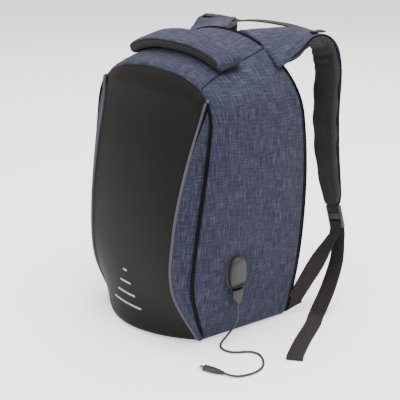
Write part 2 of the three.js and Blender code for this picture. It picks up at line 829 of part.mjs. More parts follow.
// Rubber side port: a domed oval on the side panel with a socket open downward.
function sidePort() {
  const squareness = 3;
  const sides = 20;
  const shape = new THREE.Shape(oval(portWidth / 2, portLength / 2, squareness, sides));
  const bevel = portDepth / 3;
  const geometry = new THREE.ExtrudeGeometry(shape, {
    depth: 2 * portDepth - 2 * bevel,
    bevelEnabled: true,
    bevelSize: bevel,
    bevelOffset: -bevel,
    bevelThickness: bevel,
    bevelSegments: 2,
  });
  geometry.translate(0, 0, bevel - portDepth);
  geometry.applyMatrix4(new THREE.Matrix4().makeBasis(axisY, axisZ, axisX));
  geometry.translate(portSeat.x, -portSetback, portHeight);
  const halfSocket = vec(socketDepth / 2, socketWidth / 2, socketLength);
  const middle = vec(socketX, -portSetback, portFoot);
  const socket = boxSolid(middle.clone().sub(halfSocket), middle.clone().add(halfSocket));
  const port = solidOf(geometry).subtract(clearBody).subtract(socket);
  add("side_port", geometryOf(port), rubber);
}

// A straight run of sections along a line: how far along, how wide and how thick.
function stepped(start, along, hint, rows) {
  return rows.map(([reach, wide, thick]) => {
    const at = start.clone().addScaledVector(along, reach);
    return squared({ at, hint, wide, thick }, along);
  });
}

const reliefSize = cableDiameter + 2 * reliefWall;
const plugReach = plugLength + plugRelief;

// Plug in the socket: metal tongue, moulded grip and a tapered strain relief.
function cablePlug() {
  const start = vec(socketX, -portSetback, portFoot + socketLength - 2 * plugClearance);
  const tongueWide = socketWidth - 2 * plugClearance;
  const tongueThick = socketDepth - 2 * plugClearance;
  const seat = socketLength - 2 * plugClearance + touchGap;
  const rows = [
    [0, tongueWide, tongueThick],
    [seat, tongueWide, tongueThick],
    [seat, plugWidth, plugThickness],
    [seat + plugLength, plugWidth * plugTaper, plugThickness],
    [seat + plugReach, reliefSize, reliefSize],
  ];
  const plug = sweep(stepped(start, axisZ.clone().negate(), axisY, rows));
  add("cable_plug", plug, rubber);
}

const routePoints = cableRoute.map(([x, y, z]) => vec(x, y, z));

function cable() {
  const path = new THREE.CatmullRomCurve3(routePoints, false, "centripetal");
  const section = new THREE.Shape(oval(cableDiameter / 2, cableDiameter / 2, 2, 8));
  const steps = 44;
  const geometry = new THREE.ExtrudeGeometry(section, { steps, extrudePath: path });
  add("cable", geometryOf(solidOf(geometry)), rubber);
}

// Small connector on the cable's free end, lying on the floor.
function cableConnector() {
  const end = routePoints[routePoints.length - 1];
  const before = routePoints[routePoints.length - 2];
  const along = vec(end.x - before.x, end.y - before.y, 0).normalize();
  const start = end.clone().addScaledVector(along, touchGap);
  const shoulder = connectorRelief + connectorLength;
  const rows = [
    [0, reliefSize, reliefSize],
    [connectorRelief, connectorWidth, connectorThickness],
    [shoulder, connectorWidth, connectorThickness],
    [shoulder, tipWidth, tipThickness],
    [shoulder + tipLength, tipWidth, tipThickness],
  ];
  const side = vec(along.y, -along.x, 0);
  add("cable_connector", sweep(stepped(start, along, side, rows)), rubber);
}

// Thin bars that follow the bow of the front panel, cut to its surface.
function reflectiveBars() {
  barRows.forEach((row, k) => {
    const z = row.z * bodyHeight;
    const edge = panelEdge(z / zipLine.shoulder);
    const length = row.length * zipWidth;
    const thick = 4 * barThickness;
    const stations = [1, 0.5, 0, -0.5, -1].map((share) => {
      const x = (share * length) / 2;
      const y = edge.y - bowAt(edge, x / edge.x);
      return { at: vec(x, y, z), hint: axisZ, wide: barHeight, thick };
    });
    const bar = sewnSweep(framed(stations), flatRing);
    add(`reflective_bar_${k + 1}`, geometryOf(bar), reflective);
  });
}

bodyPanels();
grabHandle();
shoulderStraps();
hangLoop();
ladderLock();
lowerWebbing();
looseTails();
sidePort();
cablePlug();
cable();
cableConnector();
reflectiveBars();

export default group;
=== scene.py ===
# Looks of the anti theft backpack, in metres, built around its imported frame.
import math

import bmesh
import bpy
import numpy as np
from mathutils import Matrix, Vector, noise


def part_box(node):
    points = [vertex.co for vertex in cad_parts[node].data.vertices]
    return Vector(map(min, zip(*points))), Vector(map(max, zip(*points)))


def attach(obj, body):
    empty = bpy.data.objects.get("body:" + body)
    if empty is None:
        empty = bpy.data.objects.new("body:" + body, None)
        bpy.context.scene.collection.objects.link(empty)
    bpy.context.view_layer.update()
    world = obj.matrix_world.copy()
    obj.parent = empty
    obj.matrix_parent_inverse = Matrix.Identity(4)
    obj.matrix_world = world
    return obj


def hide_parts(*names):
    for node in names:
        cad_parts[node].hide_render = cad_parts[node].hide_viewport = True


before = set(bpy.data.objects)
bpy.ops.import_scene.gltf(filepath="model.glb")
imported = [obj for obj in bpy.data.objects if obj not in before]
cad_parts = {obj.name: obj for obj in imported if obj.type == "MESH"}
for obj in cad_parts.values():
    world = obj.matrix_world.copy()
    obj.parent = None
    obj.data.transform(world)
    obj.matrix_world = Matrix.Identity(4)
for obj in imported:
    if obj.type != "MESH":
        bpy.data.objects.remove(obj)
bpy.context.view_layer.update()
ROOT = "root"

# Camera at the photograph's angle
VIEW_AZIMUTH = math.radians(50)
VIEW_ELEVATION = math.radians(19.3)
VIEW_TARGET = np.array([0.022, 0.0, 0.1825])
VIEW_DISTANCE = 1.342
SENSOR_MM = 36
FOCAL_PIXELS = 863
PHOTO_PIXELS = 400

# Body
BODY_HEIGHT = 0.440
BODY_MIDDLE = np.array([0, 0, 0.2])
BACK_REACH = 0.103
FRONT_REACH = 0.100
ZIP_WIDTH = 0.276
WING_STEP = 0.021
PANEL_BOW = 0.074
SIDE_BULGE = 0.006
TOP_BULGE = 0.005
BULGE_LEAN = 0.65
BULGE_RUN_UP = 0.048
HEEL = 0.008
WALL = 0.0025
BACK_PADDING = 0.012
PIPING_RADIUS = 0.0019
PIPING_LOOK = 0.0024
BINDING_RADIUS = 0.0022
SEAM_FRONT = 0.107
SEAM_BACK = 0.080
BACK_LINE = {"half": 0.151, "foot": 0.132, "top": 0.440, "shoulder": 0.3256, "power": 2.1}
ZIP_LINE = {"half": 0.138, "foot": 0.116, "top": 0.397, "shoulder": 0.316, "power": 2.63}

# at is a share of BODY_HEIGHT; back, zip, step and bow are shares of BACK_REACH, FRONT_REACH,
# WING_STEP and PANEL_BOW; panel is a share of half the zip width.
SECTIONS = {
    "at": [0.0, 0.2, 0.4, 0.6, 0.8, 1.0],
    "back": [0.85, 0.97, 1.0, 0.96, 0.83, 0.62],
    "zip": [0.7, 0.99, 0.96, 0.84, 0.735, 0.67],
    "step": [0.48, 0.9, 1.0, 0.76, 0.1, 0.0],
    "panel": [0.84, 0.73, 0.745, 0.79, 0.865, 1.05],
    "bow": [1.0, 0.3, 0.2, 0.18, 0.16, 0.16],
}

# Reflective bars: height share of BODY_HEIGHT, length share of ZIP_WIDTH
BARS = ((0.214, 0.033), (0.17, 0.095), (0.128, 0.16), (0.089, 0.25))
BAR_WIDTH = 0.0031
BAR_THICKNESS = 0.0014

# Grab handle
HANDLE_WIDTH = 0.042
HANDLE_PAD_LOOK = 0.0150
HANDLE_COVER_LOOK = 0.0036
HANDLE_RISE = 0.0025
HANDLE_SEAT = 0.41
HANDLE_END = 1.54

# Shoulder strap: x share of half the back width, y of STRAP_HANG, z of BODY_HEIGHT, wide of
# STRAP_WIDTH, thick of the layers' thickness, crown of STRAP_WIDTH; roll and yaw in degrees.
STRAP_WIDTH = 0.058
STRAP_COVER = 0.003
STRAP_PAD = 0.014
STRAP_HANG = 0.066
LAYER_GAP = 0.0006
STRAP_ROWS = [
    (0.49, -0.03, 0.955, 2.0, 0.5, 0.15, 20, 0),
    (0.51, 0.24, 0.954, 1.84, 0.55, 0.12, 19, 0),
    (0.56, 0.58, 0.957, 1.62, 0.65, 0.09, 15, 0),
    (0.63, 0.92, 0.962, 1.37, 0.75, 0.05, 9, -3),
    (0.71, 1.15, 0.961, 1.17, 0.85, 0.03, 4, -7),
    (0.76, 1.3, 0.935, 1.04, 0.95, 0.0, 0, -11),
    (0.785, 1.37, 0.89, 1.0, 1.0, 0.0, 0, -14),
    (0.795, 1.38, 0.83, 1.0, 1.0, 0.0, 0, -15),
    (0.8, 1.36, 0.75, 0.98, 1.0, 0.0, 0, -15),
    (0.81, 1.36, 0.67, 0.96, 1.0, 0.0, 0, -15),
    (0.83, 1.38, 0.58, 0.92, 1.0, 0.0, 0, -15),
    (0.87, 1.4, 0.5, 0.84, 0.95, 0.0, 2, -14),
    (0.915, 1.42, 0.435, 0.74, 0.85, 0.0, 3, -12),
    (0.96, 1.43, 0.385, 0.64, 0.7, 0.0, 4, -10),
]

# Webbing: x share of half the back width, y of BACK_REACH, z of the lock's height.
WEBBING = 0.025
WEBBING_THICKNESS = 0.002
WOVEN = {"power": (10, 2.4), "count": 28, "rumple": 0.0002}
LOCK_LENGTH = 0.036
BAR_CLEAR = 0.0037
HANG_LOOP_WIDTH = 0.020
HANG_LOOP_RISE = 0.006
LOOP_THICK = 0.0028
TOUCH = 0.0003
RIGHT_TAIL = [
    (1.03, 1.71, 0.74), (1.045, 1.66, 0.5), (1.06, 1.48, 0.24), (1.08, 1.29, 0.08),
    (1.11, 1.14, 0.0), (1.22, 0.9, 0.0), (1.4, 0.4, 0.0), (1.55, 0.03, 0.0), (1.62, -0.1, 0.0),
]
LEFT_TAIL = [
    (1.03, 1.71, 0.74), (1.02, 1.68, 0.48), (0.99, 1.62, 0.22), (0.94, 1.57, 0.08),
    (0.86, 1.54, 0.0), (0.7, 1.5, 0.0), (0.45, 1.46, 0.0), (0.2, 1.4, 0.0), (0.1, 1.38, 0.0),
]
RIGHT_TAIL_TURN = (0.84, 0.54, 0)
LEFT_TAIL_TURN = (-0.08, 0.99, 0)

# Side port and cable
PORT_WIDTH = 0.040
PORT_LENGTH = 0.055
PORT_SEAT = 0.002
CABLE_DIAMETER = 0.0035
CABLE_ROUTE = [
    (0.1455, -0.031, 0.0579), (0.1455, -0.0306, 0.048), (0.1455, -0.031, 0.038),
    (0.1445, -0.034, 0.028), (0.1425, -0.041, 0.018), (0.141, -0.050, 0.0095),
    (0.1415, -0.059, 0.004), (0.148, -0.066, 0.0019), (0.159, -0.068, 0.0019),
    (0.170, -0.064, 0.0019), (0.178, -0.054, 0.0019), (0.186, -0.043, 0.0019),
    (0.197, -0.038, 0.0019), (0.209, -0.041, 0.0019), (0.221, -0.049, 0.0019),
    (0.230, -0.061, 0.0019), (0.233, -0.076, 0.0019), (0.231, -0.090, 0.0019),
    (0.226, -0.102, 0.0022), (0.218, -0.110, 0.0032), (0.209, -0.1135, 0.0037),
]
MIRROR = np.array([-1.0, 1.0, 1.0])
SIDES = (("right", np.ones(3)), ("left", MIRROR))


def put(name, data):
    made = bpy.data.objects.new(name, data)
    bpy.context.scene.collection.objects.link(made)
    return made


def view_camera():
    back = np.array([
        math.sin(VIEW_AZIMUTH) * math.cos(VIEW_ELEVATION),
        -math.cos(VIEW_AZIMUTH) * math.cos(VIEW_ELEVATION),
        math.sin(VIEW_ELEVATION),
    ])
    data = bpy.data.cameras.new("camera")
    data.sensor_width = SENSOR_MM
    data.lens = SENSOR_MM * FOCAL_PIXELS / PHOTO_PIXELS
    camera = put("camera", data)
    camera.location = Vector(VIEW_TARGET + back * VIEW_DISTANCE)
    camera.rotation_euler = Vector(-back).to_track_quat("-Z", "Y").to_euler()
    bpy.context.scene.camera = camera


# Materials
class Look:
    """A material in the making. Scales of streaks are turns to the metre, pitches are metres."""

    def __init__(self, name, color, roughness, **sockets):
        self.material = bpy.data.materials.new(name)
        self.material.use_nodes = True
        self.tree = self.material.node_tree
        self.shader = self.tree.nodes["Principled BSDF"]
        self.set(Base_Color=color, Roughness=roughness, **sockets)

    def set(self, **sockets):
        for name, value in sockets.items():
            self.feed(self.shader.inputs[name.replace("_", " ")], value)

    def feed(self, socket, value):
        if isinstance(value, bpy.types.NodeSocket):
            self.tree.links.new(value, socket)
        else:
            socket.default_value = (*value, 1) if socket.type == "RGBA" else value

    def node(self, kind, inputs, output=0, **settings):
        made = self.tree.nodes.new(kind)
        for name, value in settings.items():
            setattr(made, name, value)
        for name, value in inputs.items():
            self.feed(made.inputs[name], value)
        return made.outputs[output]

    def cloth_uv(self):
        return self.node("ShaderNodeUVMap", {}, "UV", uv_map="cloth")

    def streaks(self, source, scale, detail=2.0):
        mapped = self.node("ShaderNodeMapping", {"Vector": source, "Scale": scale})
        inputs = {"Vector": mapped, "Scale": 1.0, "Detail": detail}
        return self.node("ShaderNodeTexNoise", inputs, "Fac")

    def ranged(self, source, low, high, to_low=0.0, to_high=1.0):
        limits = {"From Min": low, "From Max": high, "To Min": to_low, "To Max": to_high}
        return self.node("ShaderNodeMapRange", {"Value": source, **limits}, "Result")

    def mottled(self, source, scale, *limits, detail=2.0):
        return self.ranged(self.streaks(source, scale, detail), *limits)

    def combine(self, operation, *values):
        return self.node("ShaderNodeMath", dict(enumerate(values)), operation=operation)

    def add(self, first, second):
        return self.combine("ADD", first, second)

    def times(self, first, second):
        return self.combine("MULTIPLY", first, second)

    def wave(self, source, pitch):
        return self.combine("SINE", self.times(source, 2 * math.pi / pitch))

    def ways(self, source):
        """The two cloth directions of a place."""
        return [self.node("ShaderNodeSeparateXYZ", {"Vector": source}, name) for name in "XY"]

    def blend(self, share, first, second):
        inputs = {"Factor": share, 6: first, 7: second}
        return self.node("ShaderNodeMix", inputs, 2, data_type="RGBA")

    def bump(self, height, strength, distance):
        inputs = {"Height": height, "Strength": strength, "Distance": distance}
        self.set(Normal=self.node("ShaderNodeBump", inputs))


def heather_cloth(name, dark, base, light):
    """Woven polyester: thick and thin threads both ways in three shades."""
    look = Look(name, base, 0.9, Specular_IOR_Level=0.15, Sheen_Weight=0.04, Sheen_Roughness=0.6)
    uv = look.cloth_uv()
    upright = look.mottled(uv, (720, 30, 1), 0.34, 0.66)
    level = look.mottled(uv, (38, 720, 1), 0.34, 0.66)
    bright_up = look.mottled(uv, (900, 42, 1), 0.46, 0.8)
    bright_level = look.mottled(uv, (55, 900, 1), 0.5, 0.84)
    fine = look.add(look.streaks(uv, (1500, 170, 1), 1.0), look.streaks(uv, (170, 1500, 1), 1.0))
    cloud = look.mottled(uv, (14, 14, 1), 0.3, 0.7, 0.0, 0.18, detail=3.0)
    dull = look.add(look.add(upright, level), fine)
    glint = look.add(bright_up, bright_level)
    ground = look.blend(look.ranged(dull, 1.1, 2.9), dark, base)
    lit = look.blend(look.ranged(glint, 0.1, 1.2, 0.0, 0.6), ground, light)
    look.set(Base_Color=look.blend(cloud, lit, dark))
    across, along = (look.wave(way, 0.0011) for way in look.ways(uv))
    weave = look.times(look.times(across, along), 0.5)
    look.bump(look.add(weave, look.add(dull, glint)), 0.5, 0.0003)
    return look.material


def satin_cloth(name, color, gloss=0.12):
    """Smooth coated fabric: a fine grain and a soft broad gloss."""
    look = Look(name, color, 0.6, Specular_IOR_Level=gloss, Sheen_Weight=0.02)
    uv = look.cloth_uv()
    grain = look.streaks(uv, (1600, 1600, 1), 3.0)
    cloud = look.mottled(uv, (9, 6, 1), 0.3, 0.7, detail=4.0)
    lighter = tuple(1.5 * c for c in color)
    look.set(Base_Color=look.blend(cloud, color, lighter))
    look.set(Roughness=look.ranged(grain, 0.3, 0.7, 0.54, 0.66))
    look.bump(grain, 0.15, 0.0002)
    return look.material


def spacer_mesh(name, hole, thread, pitch):
    """Knitted mesh over foam: a net of diamonds with dark holes."""
    look = Look(name, thread, 0.8, Specular_IOR_Level=0.3, Sheen_Weight=0.02)
    uv = look.cloth_uv()
    u, v = look.ways(uv)
    slants = (look.add(u, v), look.combine("SUBTRACT", u, v))
    net = look.combine("ABSOLUTE", look.times(*(look.wave(slant, 2 * pitch) for slant in slants)))
    knots = look.times(look.streaks(uv, (900, 900, 1), 1.0), 0.4)
    rib = look.add(look.ranged(net, 0.1, 0.55, 1.0, 0.0), knots)
    look.set(Base_Color=look.blend(look.ranged(rib, 0.2, 1.1), hole, thread))
    look.bump(rib, 0.8, 0.0008)
    return look.material


def woven_tape(name, dark, light):
    """Dark webbing: strong ribs across it, faint ones along it, and streaks of wear."""
    look = Look(name, dark, 0.8, Specular_IOR_Level=0.25, Sheen_Weight=0.03)
    uv = look.cloth_uv()
    u, v = look.ways(uv)
    rib = look.add(look.wave(v, 0.0017), look.times(look.wave(u, 0.0021), 0.35))
    wear = look.mottled(uv, (500, 60, 1), 0.3, 0.7, 0.0, 0.5)
    shade = look.add(look.ranged(rib, -1.3, 1.3, 0.0, 0.5), wear)
    look.set(Base_Color=look.blend(shade, dark, light))
    look.bump(rib, 0.6, 0.0004)
    return look.material


def moulded(name, color, roughness, metallic=0.0):
    """Moulded rubber, plastic or metal: a fine grain and faint marks of handling."""
    look = Look(name, color, roughness, Specular_IOR_Level=0.4, Metallic=metallic)
    place = look.node("ShaderNodeTexCoord", {}, "Object")
    grain = look.streaks(place, (1250, 1250, 1250))
    marks = look.streaks(place, (60, 60, 60), 4.0)
    lighter = tuple(1.7 * c for c in color)
    look.set(Base_Color=look.blend(look.ranged(marks, 0.35, 0.75), color, lighter))
    look.set(Roughness=look.ranged(marks, 0.3, 0.7, roughness - 0.07, roughness + 0.08))
    look.bump(grain, 0.25, 0.0002)
    return look.material


NAVY = heather_cloth(
    "navy_cloth", (0.0090, 0.0096, 0.0195), (0.0245, 0.0260, 0.0530), (0.125, 0.128, 0.185))
BLACK = satin_cloth("black_satin", (0.0046, 0.0039, 0.0034))
MESH = spacer_mesh("black_net", (0.002, 0.002, 0.002), (0.033, 0.030, 0.032), 0.0052)
TAPE = woven_tape("dark_webbing_weave", (0.0065, 0.0052, 0.0048), (0.028, 0.023, 0.021))
# Grey, lighter than the navy: partly the piping's own colour, partly a painted highlight along its
# round edge.
PIPING_AND_HIGHLIGHT = satin_cloth("grey_piping_and_highlight_satin", (0.056, 0.051, 0.062))
# Near black and dull: the binding's and the piping tape's own dark, and painted shade where it lines
# the groove under the fold as the zip lip.
DARK_EDGE_AND_GROOVE_SHADE = satin_cloth("dark_edge_and_groove_shade_satin", (0.0014, 0.0014, 0.0026), 0.06)
# Darker than the grey rubber: partly the port rim's own dark, partly painted shade round the port's
# foot.
DARK_RUBBER_AND_RIM_SHADE = moulded("dark_rubber_rim_and_painted_shade", (0.005, 0.005, 0.0055), 0.6)
RUBBER = moulded("grey_rubber", (0.019, 0.020, 0.0195), 0.5)
PLASTIC = moulded("dark_plastic", (0.030, 0.030, 0.032), 0.42)
METAL = moulded("plug_metal", (0.45, 0.45, 0.46), 0.3, 1.0)
FILM = satin_cloth("reflective_film_satin", (0.30, 0.30, 0.31))
THREAD = satin_cloth("navy_thread", (0.030, 0.036, 0.060))
DARK_THREAD = satin_cloth("dark_thread", (0.045, 0.040, 0.040))


# Body surfaces, the same as the solids'
def column(name, height):
    at = np.array(SECTIONS["at"])
    value = np.array(SECTIONS[name])
    slope = np.gradient(value, at)
    share = np.clip(np.asarray(height) / BODY_HEIGHT, 0, 1)
    k = np.clip(np.searchsorted(at, share) - 1, 0, len(at) - 2)
    span = at[k + 1] - at[k]
    t = (share - at[k]) / span
    leave = t * (1 - t) ** 2 * slope[k] * span
    arrive = t * t * (t - 1) * slope[k + 1] * span
    return value[k] + (value[k + 1] - value[k]) * smooth(t) + leave + arrive


def smooth(t):
    return t * t * (3 - 2 * t)


def heel(height):
    rest = np.clip(HEEL - height, 0, HEEL)
    return HEEL - np.sqrt(HEEL * HEEL - rest * rest)


def outline(line, q):
    """Place on an outline: q is 0 at the foot, 1 at the shoulder and 2 at the top's middle."""
    q = np.asarray(q, float)
    low_z = line["shoulder"] * q
    low_x = line["half"] - (line["half"] - line["foot"]) * (1 - q) ** 2 - heel(low_z)
    angle = np.clip((2 - q) * math.pi / 2, 0, math.pi / 2)
    power = 2 / line["power"]
    high_x = line["half"] * np.sin(angle) ** power
    high_z = line["shoulder"] + (line["top"] - line["shoulder"]) * np.cos(angle) ** power
    low = q < 1
    return np.where(low, low_x, high_x), np.where(low, low_z, high_z), angle


def back_y(z):
    return BACK_REACH * column("back", z)


def zip_y(z):
    return -FRONT_REACH * column("zip", z)


def skin(q, t):
    """Right half of the band between the zip line at t = 0 and the back edge at t = 1."""
    q, t = np.broadcast_arrays(np.asarray(q, float), np.asarray(t, float))
    front_x, front_z, angle = outline(ZIP_LINE, q)
    back_x, back_z, _ = outline(BACK_LINE, q)
    full = np.sin(math.pi * t ** BULGE_LEAN) * np.minimum(1, back_z / BULGE_RUN_UP)
    flank = np.sin(angle) ** 2
    bulge = full * (TOP_BULGE + (SIDE_BULGE - TOP_BULGE) * flank)
    x = front_x + (back_x - front_x) * t + bulge * np.sin(angle)
    end_y = back_y(back_z) - heel(back_z)
    y = zip_y(front_z) + (end_y - zip_y(front_z)) * t
    z = front_z + (back_z - front_z) * t + bulge * np.cos(angle)
    return np.stack([x, y, z], -1)


def skin_at(height, t):
    """The skin low down, where its height follows the zip line's."""
    return skin(np.asarray(height) / ZIP_LINE["shoulder"], t)


def panel_edge(q):
    x, z, _ = outline(ZIP_LINE, q)
    wide = ZIP_WIDTH / 2 * column("panel", z)
    y = zip_y(z) - WING_STEP * column("step", z) + heel(z)
    return np.stack([np.minimum(wide, x), y, z], -1)


def bow_at(edge, across):
    reach = 2 * edge[..., 0] / ZIP_WIDTH
    return PANEL_BOW * column("bow", edge[..., 2]) * (1 - across**2) * reach**2


def seam_q(t):
    """Where the seam between side and top panel crosses the band at t."""
    slope = (SEAM_BACK - SEAM_FRONT) / (BACK_REACH + FRONT_REACH)
    low = np.ones_like(t)
    high = np.full_like(t, 2.0)
    for _ in range(30):
        middle = (low + high) / 2
        place = skin(middle, t)
        outside = place[..., 0] > SEAM_FRONT + slope * (place[..., 1] - zip_y(0.0))
        low = np.where(outside, middle, low)
        high = np.where(outside, high, middle)
    return low


def wing_end():
    """Where the front panel comes out to the zip line, so that no wing is left between them."""
    least_width = 0.001
    q = np.linspace(0.6, 2, 1400)
    x, z, _ = outline(ZIP_LINE, q)
    return float(q[np.argmax(ZIP_WIDTH / 2 * column("panel", z) > x - least_width)])


# Mesh making
def eased(count, ends=0.8):
    """Shares from 0 to 1, closer together at both ends."""
    s = np.linspace(0, 1, count)
    return s - ends * np.sin(2 * math.pi * s) / (2 * math.pi)


def ramp(value, run):
    return np.clip(value / run, 0, 1)


def run_along(line):
    """Distance from a line's first point to each of its points."""
    return np.concatenate([[0], np.cumsum(np.linalg.norm(np.diff(line, axis=0), axis=1))])


def ripple(points, size, seed):
    """Seeded smooth noise, about -1 to 1, at each point."""
    seed_step = 7.3
    flat = points.reshape(-1, 3) / size + seed * seed_step
    return np.array([noise.noise(Vector(p)) for p in flat]).reshape(points.shape[:-1])


def slack_of(points, *rows):
    """Unevenness of loose cloth: each row gives the height, size and seed of one ripple."""
    return sum(height * ripple(points, size, seed) for height, size, seed in rows)


def unit(vectors):
    return vectors / np.maximum(np.linalg.norm(vectors, axis=-1, keepdims=True), 1e-12)


def quarter_turn(ways):
    """Level ways turned by a right angle about the upright."""
    return np.stack([-ways[:, 1], ways[:, 0], np.zeros(len(ways))], -1)


def grid_normals(grid):
    return unit(np.cross(np.gradient(grid, axis=0), np.gradient(grid, axis=1)))


def outward_of(grid):
    normal = grid_normals(grid)
    return normal if (normal * (grid - BODY_MIDDLE)).sum() > 0 else -normal


def from_edge(grid, line):
    """Distance of each point to a line of points, and how far along the line it is."""
    gap = np.linalg.norm(grid.reshape(-1, 3)[:, None, :] - line[None], axis=2)
    shape = grid.shape[:-1]
    return gap.min(axis=1).reshape(shape), run_along(line)[gap.argmin(axis=1)].reshape(shape)


def turned_in(gap, radius, depth):
    """How far cloth that is turned in over a radius lies below its plane, at a gap to the edge."""
    rest = 1 - ramp(gap, radius)
    return depth * (1 - np.sqrt(1 - rest**2))


def make_object(name, vertices, faces, loops, material):
    mesh = bpy.data.meshes.new(name)
    mesh.from_pydata(np.asarray(vertices).tolist(), [], faces)
    layer = mesh.uv_layers.new(name="cloth")
    layer.data.foreach_set("uv", np.asarray(loops, float).ravel())
    mesh.polygons.foreach_set("use_smooth", [True] * len(mesh.polygons))
    mesh.materials.append(material)
    return put(name, mesh)


def clean(made, close=False):
    edit = bmesh.new()
    edit.from_mesh(made.data)
    bmesh.ops.remove_doubles(edit, verts=edit.verts, dist=1e-6)
    bmesh.ops.dissolve_degenerate(edit, edges=edit.edges, dist=1e-7)
    if close:
        bmesh.ops.recalc_face_normals(edit, faces=edit.faces)
    edit.to_mesh(made.data)
    edit.free()
    return made


def grid_faces(rows, columns, wrap=False):
    faces = []
    corners = []
    for i in range(rows - 1):
        for j in range(columns if wrap else columns - 1):
            k = (j + 1) % columns
            low, high = i * columns, (i + 1) * columns
            faces.append((low + j, low + k, high + k, high + j))
            corners.append(((i, j), (i, j + 1), (i + 1, j + 1), (i + 1, j)))
    return faces, corners


def tube_faces(rings, count):
    """Faces of a tube, with a flat cap on both ends, and each face's corners."""
    faces, corners = grid_faces(rings, count, wrap=True)
    for ring, way in ((0, -1), (rings - 1, 1)):
        faces.append(tuple(range(ring * count, (ring + 1) * count))[::way])
        corners.append([(ring, j) for j in range(count)])
    return faces, corners


def closed_tube(name, points, around, run, material):
    """Closed body through rings of points; around and run give the cloth's directions."""
    faces, corners = tube_faces(*points.shape[:2])
    loops = [(around[j], run[i]) for face in corners for i, j in face]
    return clean(make_object(name, points.reshape(-1, 3), faces, loops, material), close=True)


def sheet_object(name, grid, uv, material, outward):
    """Cloth panel: a grid of points facing outward, with a wall behind it."""
    faces, corners = grid_faces(*grid.shape[:2])
    if (grid_normals(grid) * outward).sum() > 0:
        faces = [f[::-1] for f in faces]
        corners = [c[::-1] for c in corners]
    loops = [uv[i, j] for c in corners for i, j in c]
    made = clean(make_object(name, grid.reshape(-1, 3), faces, loops, material))
    thick = made.modifiers.new("wall", "SOLIDIFY")
    thick.thickness = WALL
    thick.offset = -1
    return made


def spline(rows, count):
    """A smooth run through rows of numbers."""
    rows = np.asarray(rows, float)
    s = np.linspace(0, len(rows) - 1, count)
    k = np.minimum(s.astype(int), len(rows) - 2)
    t = (s - k)[:, None]
    slope = np.gradient(rows, axis=0)
    swing = slope[k] * t * (1 - t) ** 2 + slope[k + 1] * t * t * (t - 1)
    return rows[k] + (rows[k + 1] - rows[k]) * smooth(t) + swing


def framed(at, hint):
    """Direction, width way and height way along a line of places."""
    along = unit(np.gradient(at, axis=0))
    across = unit(hint - along * (hint * along).sum(-1, keepdims=True))
    return along, across, np.cross(across, along)


def ring_shares(count, power_u, power_v):
    """Points round a ring between an ellipse, at a power of 2, and a box, at a high one."""
    angle = np.linspace(0, 2 * math.pi, count, endpoint=False)
    c, s = np.cos(angle), np.sin(angle)
    return np.sign(c) * np.abs(c) ** (2 / power_u), np.sign(s) * np.abs(s) ** (2 / power_v)


def swept(name, at, hint, wide, thick, material, lift=0.0, crown=0.0, power=(2, 2), count=14,
          rumple=0.0, seed=0, extra=None):
    """Closed soft band or cord along a line; ends are drawn in to round them."""
    rumple_size = 0.022
    least_draw = 0.02
    wide, thick, lift, crown = (
        np.broadcast_to(v, len(at))[:, None] for v in (wide, thick, lift, crown))
    _, across, up = framed(at, np.broadcast_to(hint, at.shape))
    across, up = across[:, None], up[:, None]
    u, v = ring_shares(count, *power)
    run = run_along(at)[:, None]
    soft = np.maximum(thick / 2, 1e-4)
    rest = 1 - ramp(np.minimum(run, run[-1] - run), soft)
    draw = np.sqrt(np.maximum(1 - rest**2, least_draw))
    x = u * (wide / 2 - soft * (1 - draw))
    height = lift + v * (thick / 2 * draw) - crown * u**2
    points = at[:, None] + x[..., None] * across + height[..., None] * up
    if rumple:
        out = unit((u * thick)[..., None] * across + (v * wide)[..., None] * up)
        shift = rumple * ripple(points, rumple_size, seed)
        if extra:
            shift = shift + extra(run, u, v)
        points = points + out * shift[..., None]
    middle = points[len(at) // 2]
    girth = np.linalg.norm(middle - np.roll(middle, 1, axis=0), axis=1)
    around = np.concatenate([np.cumsum(girth) - girth[0], [girth.sum()]])
    return closed_tube(name, points, around, run[:, 0], material)


def ringed(name, start, ways, profile, shares, material):
    """Closed moulded body: each row of the profile gives its reach, width and height."""
    uv_step = 0.0015
    along, side, up = (np.asarray(way, float) for way in ways)
    u, v = shares
    points = np.array([
        start + along * reach + np.outer(u * wide / 2, side) + np.outer(v * high / 2, up)
        for reach, wide, high in profile
    ])
    around, run = (np.arange(number + 1) * uv_step for number in (len(u), len(profile)))
    return closed_tube(name, points, around, run, material)


def settle(piece, slot, *nodes, fill=None):
    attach(piece, ROOT)
    if nodes:
        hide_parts(*nodes)
    return piece


def swept_pair(name, at, hint, wide, thick, material, slot, nodes=(), **shape):
    """A band on the right and its mirror image on the left."""
    for word, flip in SIDES:
        made = swept(f"{name}_{word}", at * flip, hint * flip, wide, thick, material, **shape)
        settle(made, slot, *(f"{node}_{word}" for node in nodes))


def stitches(name, line, facing, material, slot):
    """A row of thread stitches that lie on a surface along a line."""
    pitch, length, radius, sides = 0.0042, 0.0029, 0.00032, 6
    rings = ((-0.5, 0.35), (-0.32, 1.0), (0.32, 1.0), (0.5, 0.35))
    run = run_along(line)
    one_stitch, _ = tube_faces(len(rings), sides)
    turns = [2 * math.pi * k / sides for k in range(sides)]

    def at(values, here):
        return np.array([np.interp(here, run, way) for way in values.T])

    vertices, faces = [], []
    for start in np.arange(pitch / 2, run[-1] - pitch / 2, pitch):
        faces += [tuple(len(vertices) + k for k in face) for face in one_stitch]
        for share, size in rings:
            here = start + share * length
            centre = at(line, here)
            up = unit(at(facing, here))
            side = unit(np.cross(unit(at(line, here + 0.001) - centre), up))
            sink = radius * (0.35 if size == 1.0 else -0.4)
            vertices += [
                centre + up * (sink + radius * size * math.sin(a)) + side * radius * size * math.cos(a)
                for a in turns
            ]
    loops = np.zeros((sum(len(f) for f in faces), 2))
    settle(clean(make_object(name, np.array(vertices), faces, loops, material), close=True), slot)


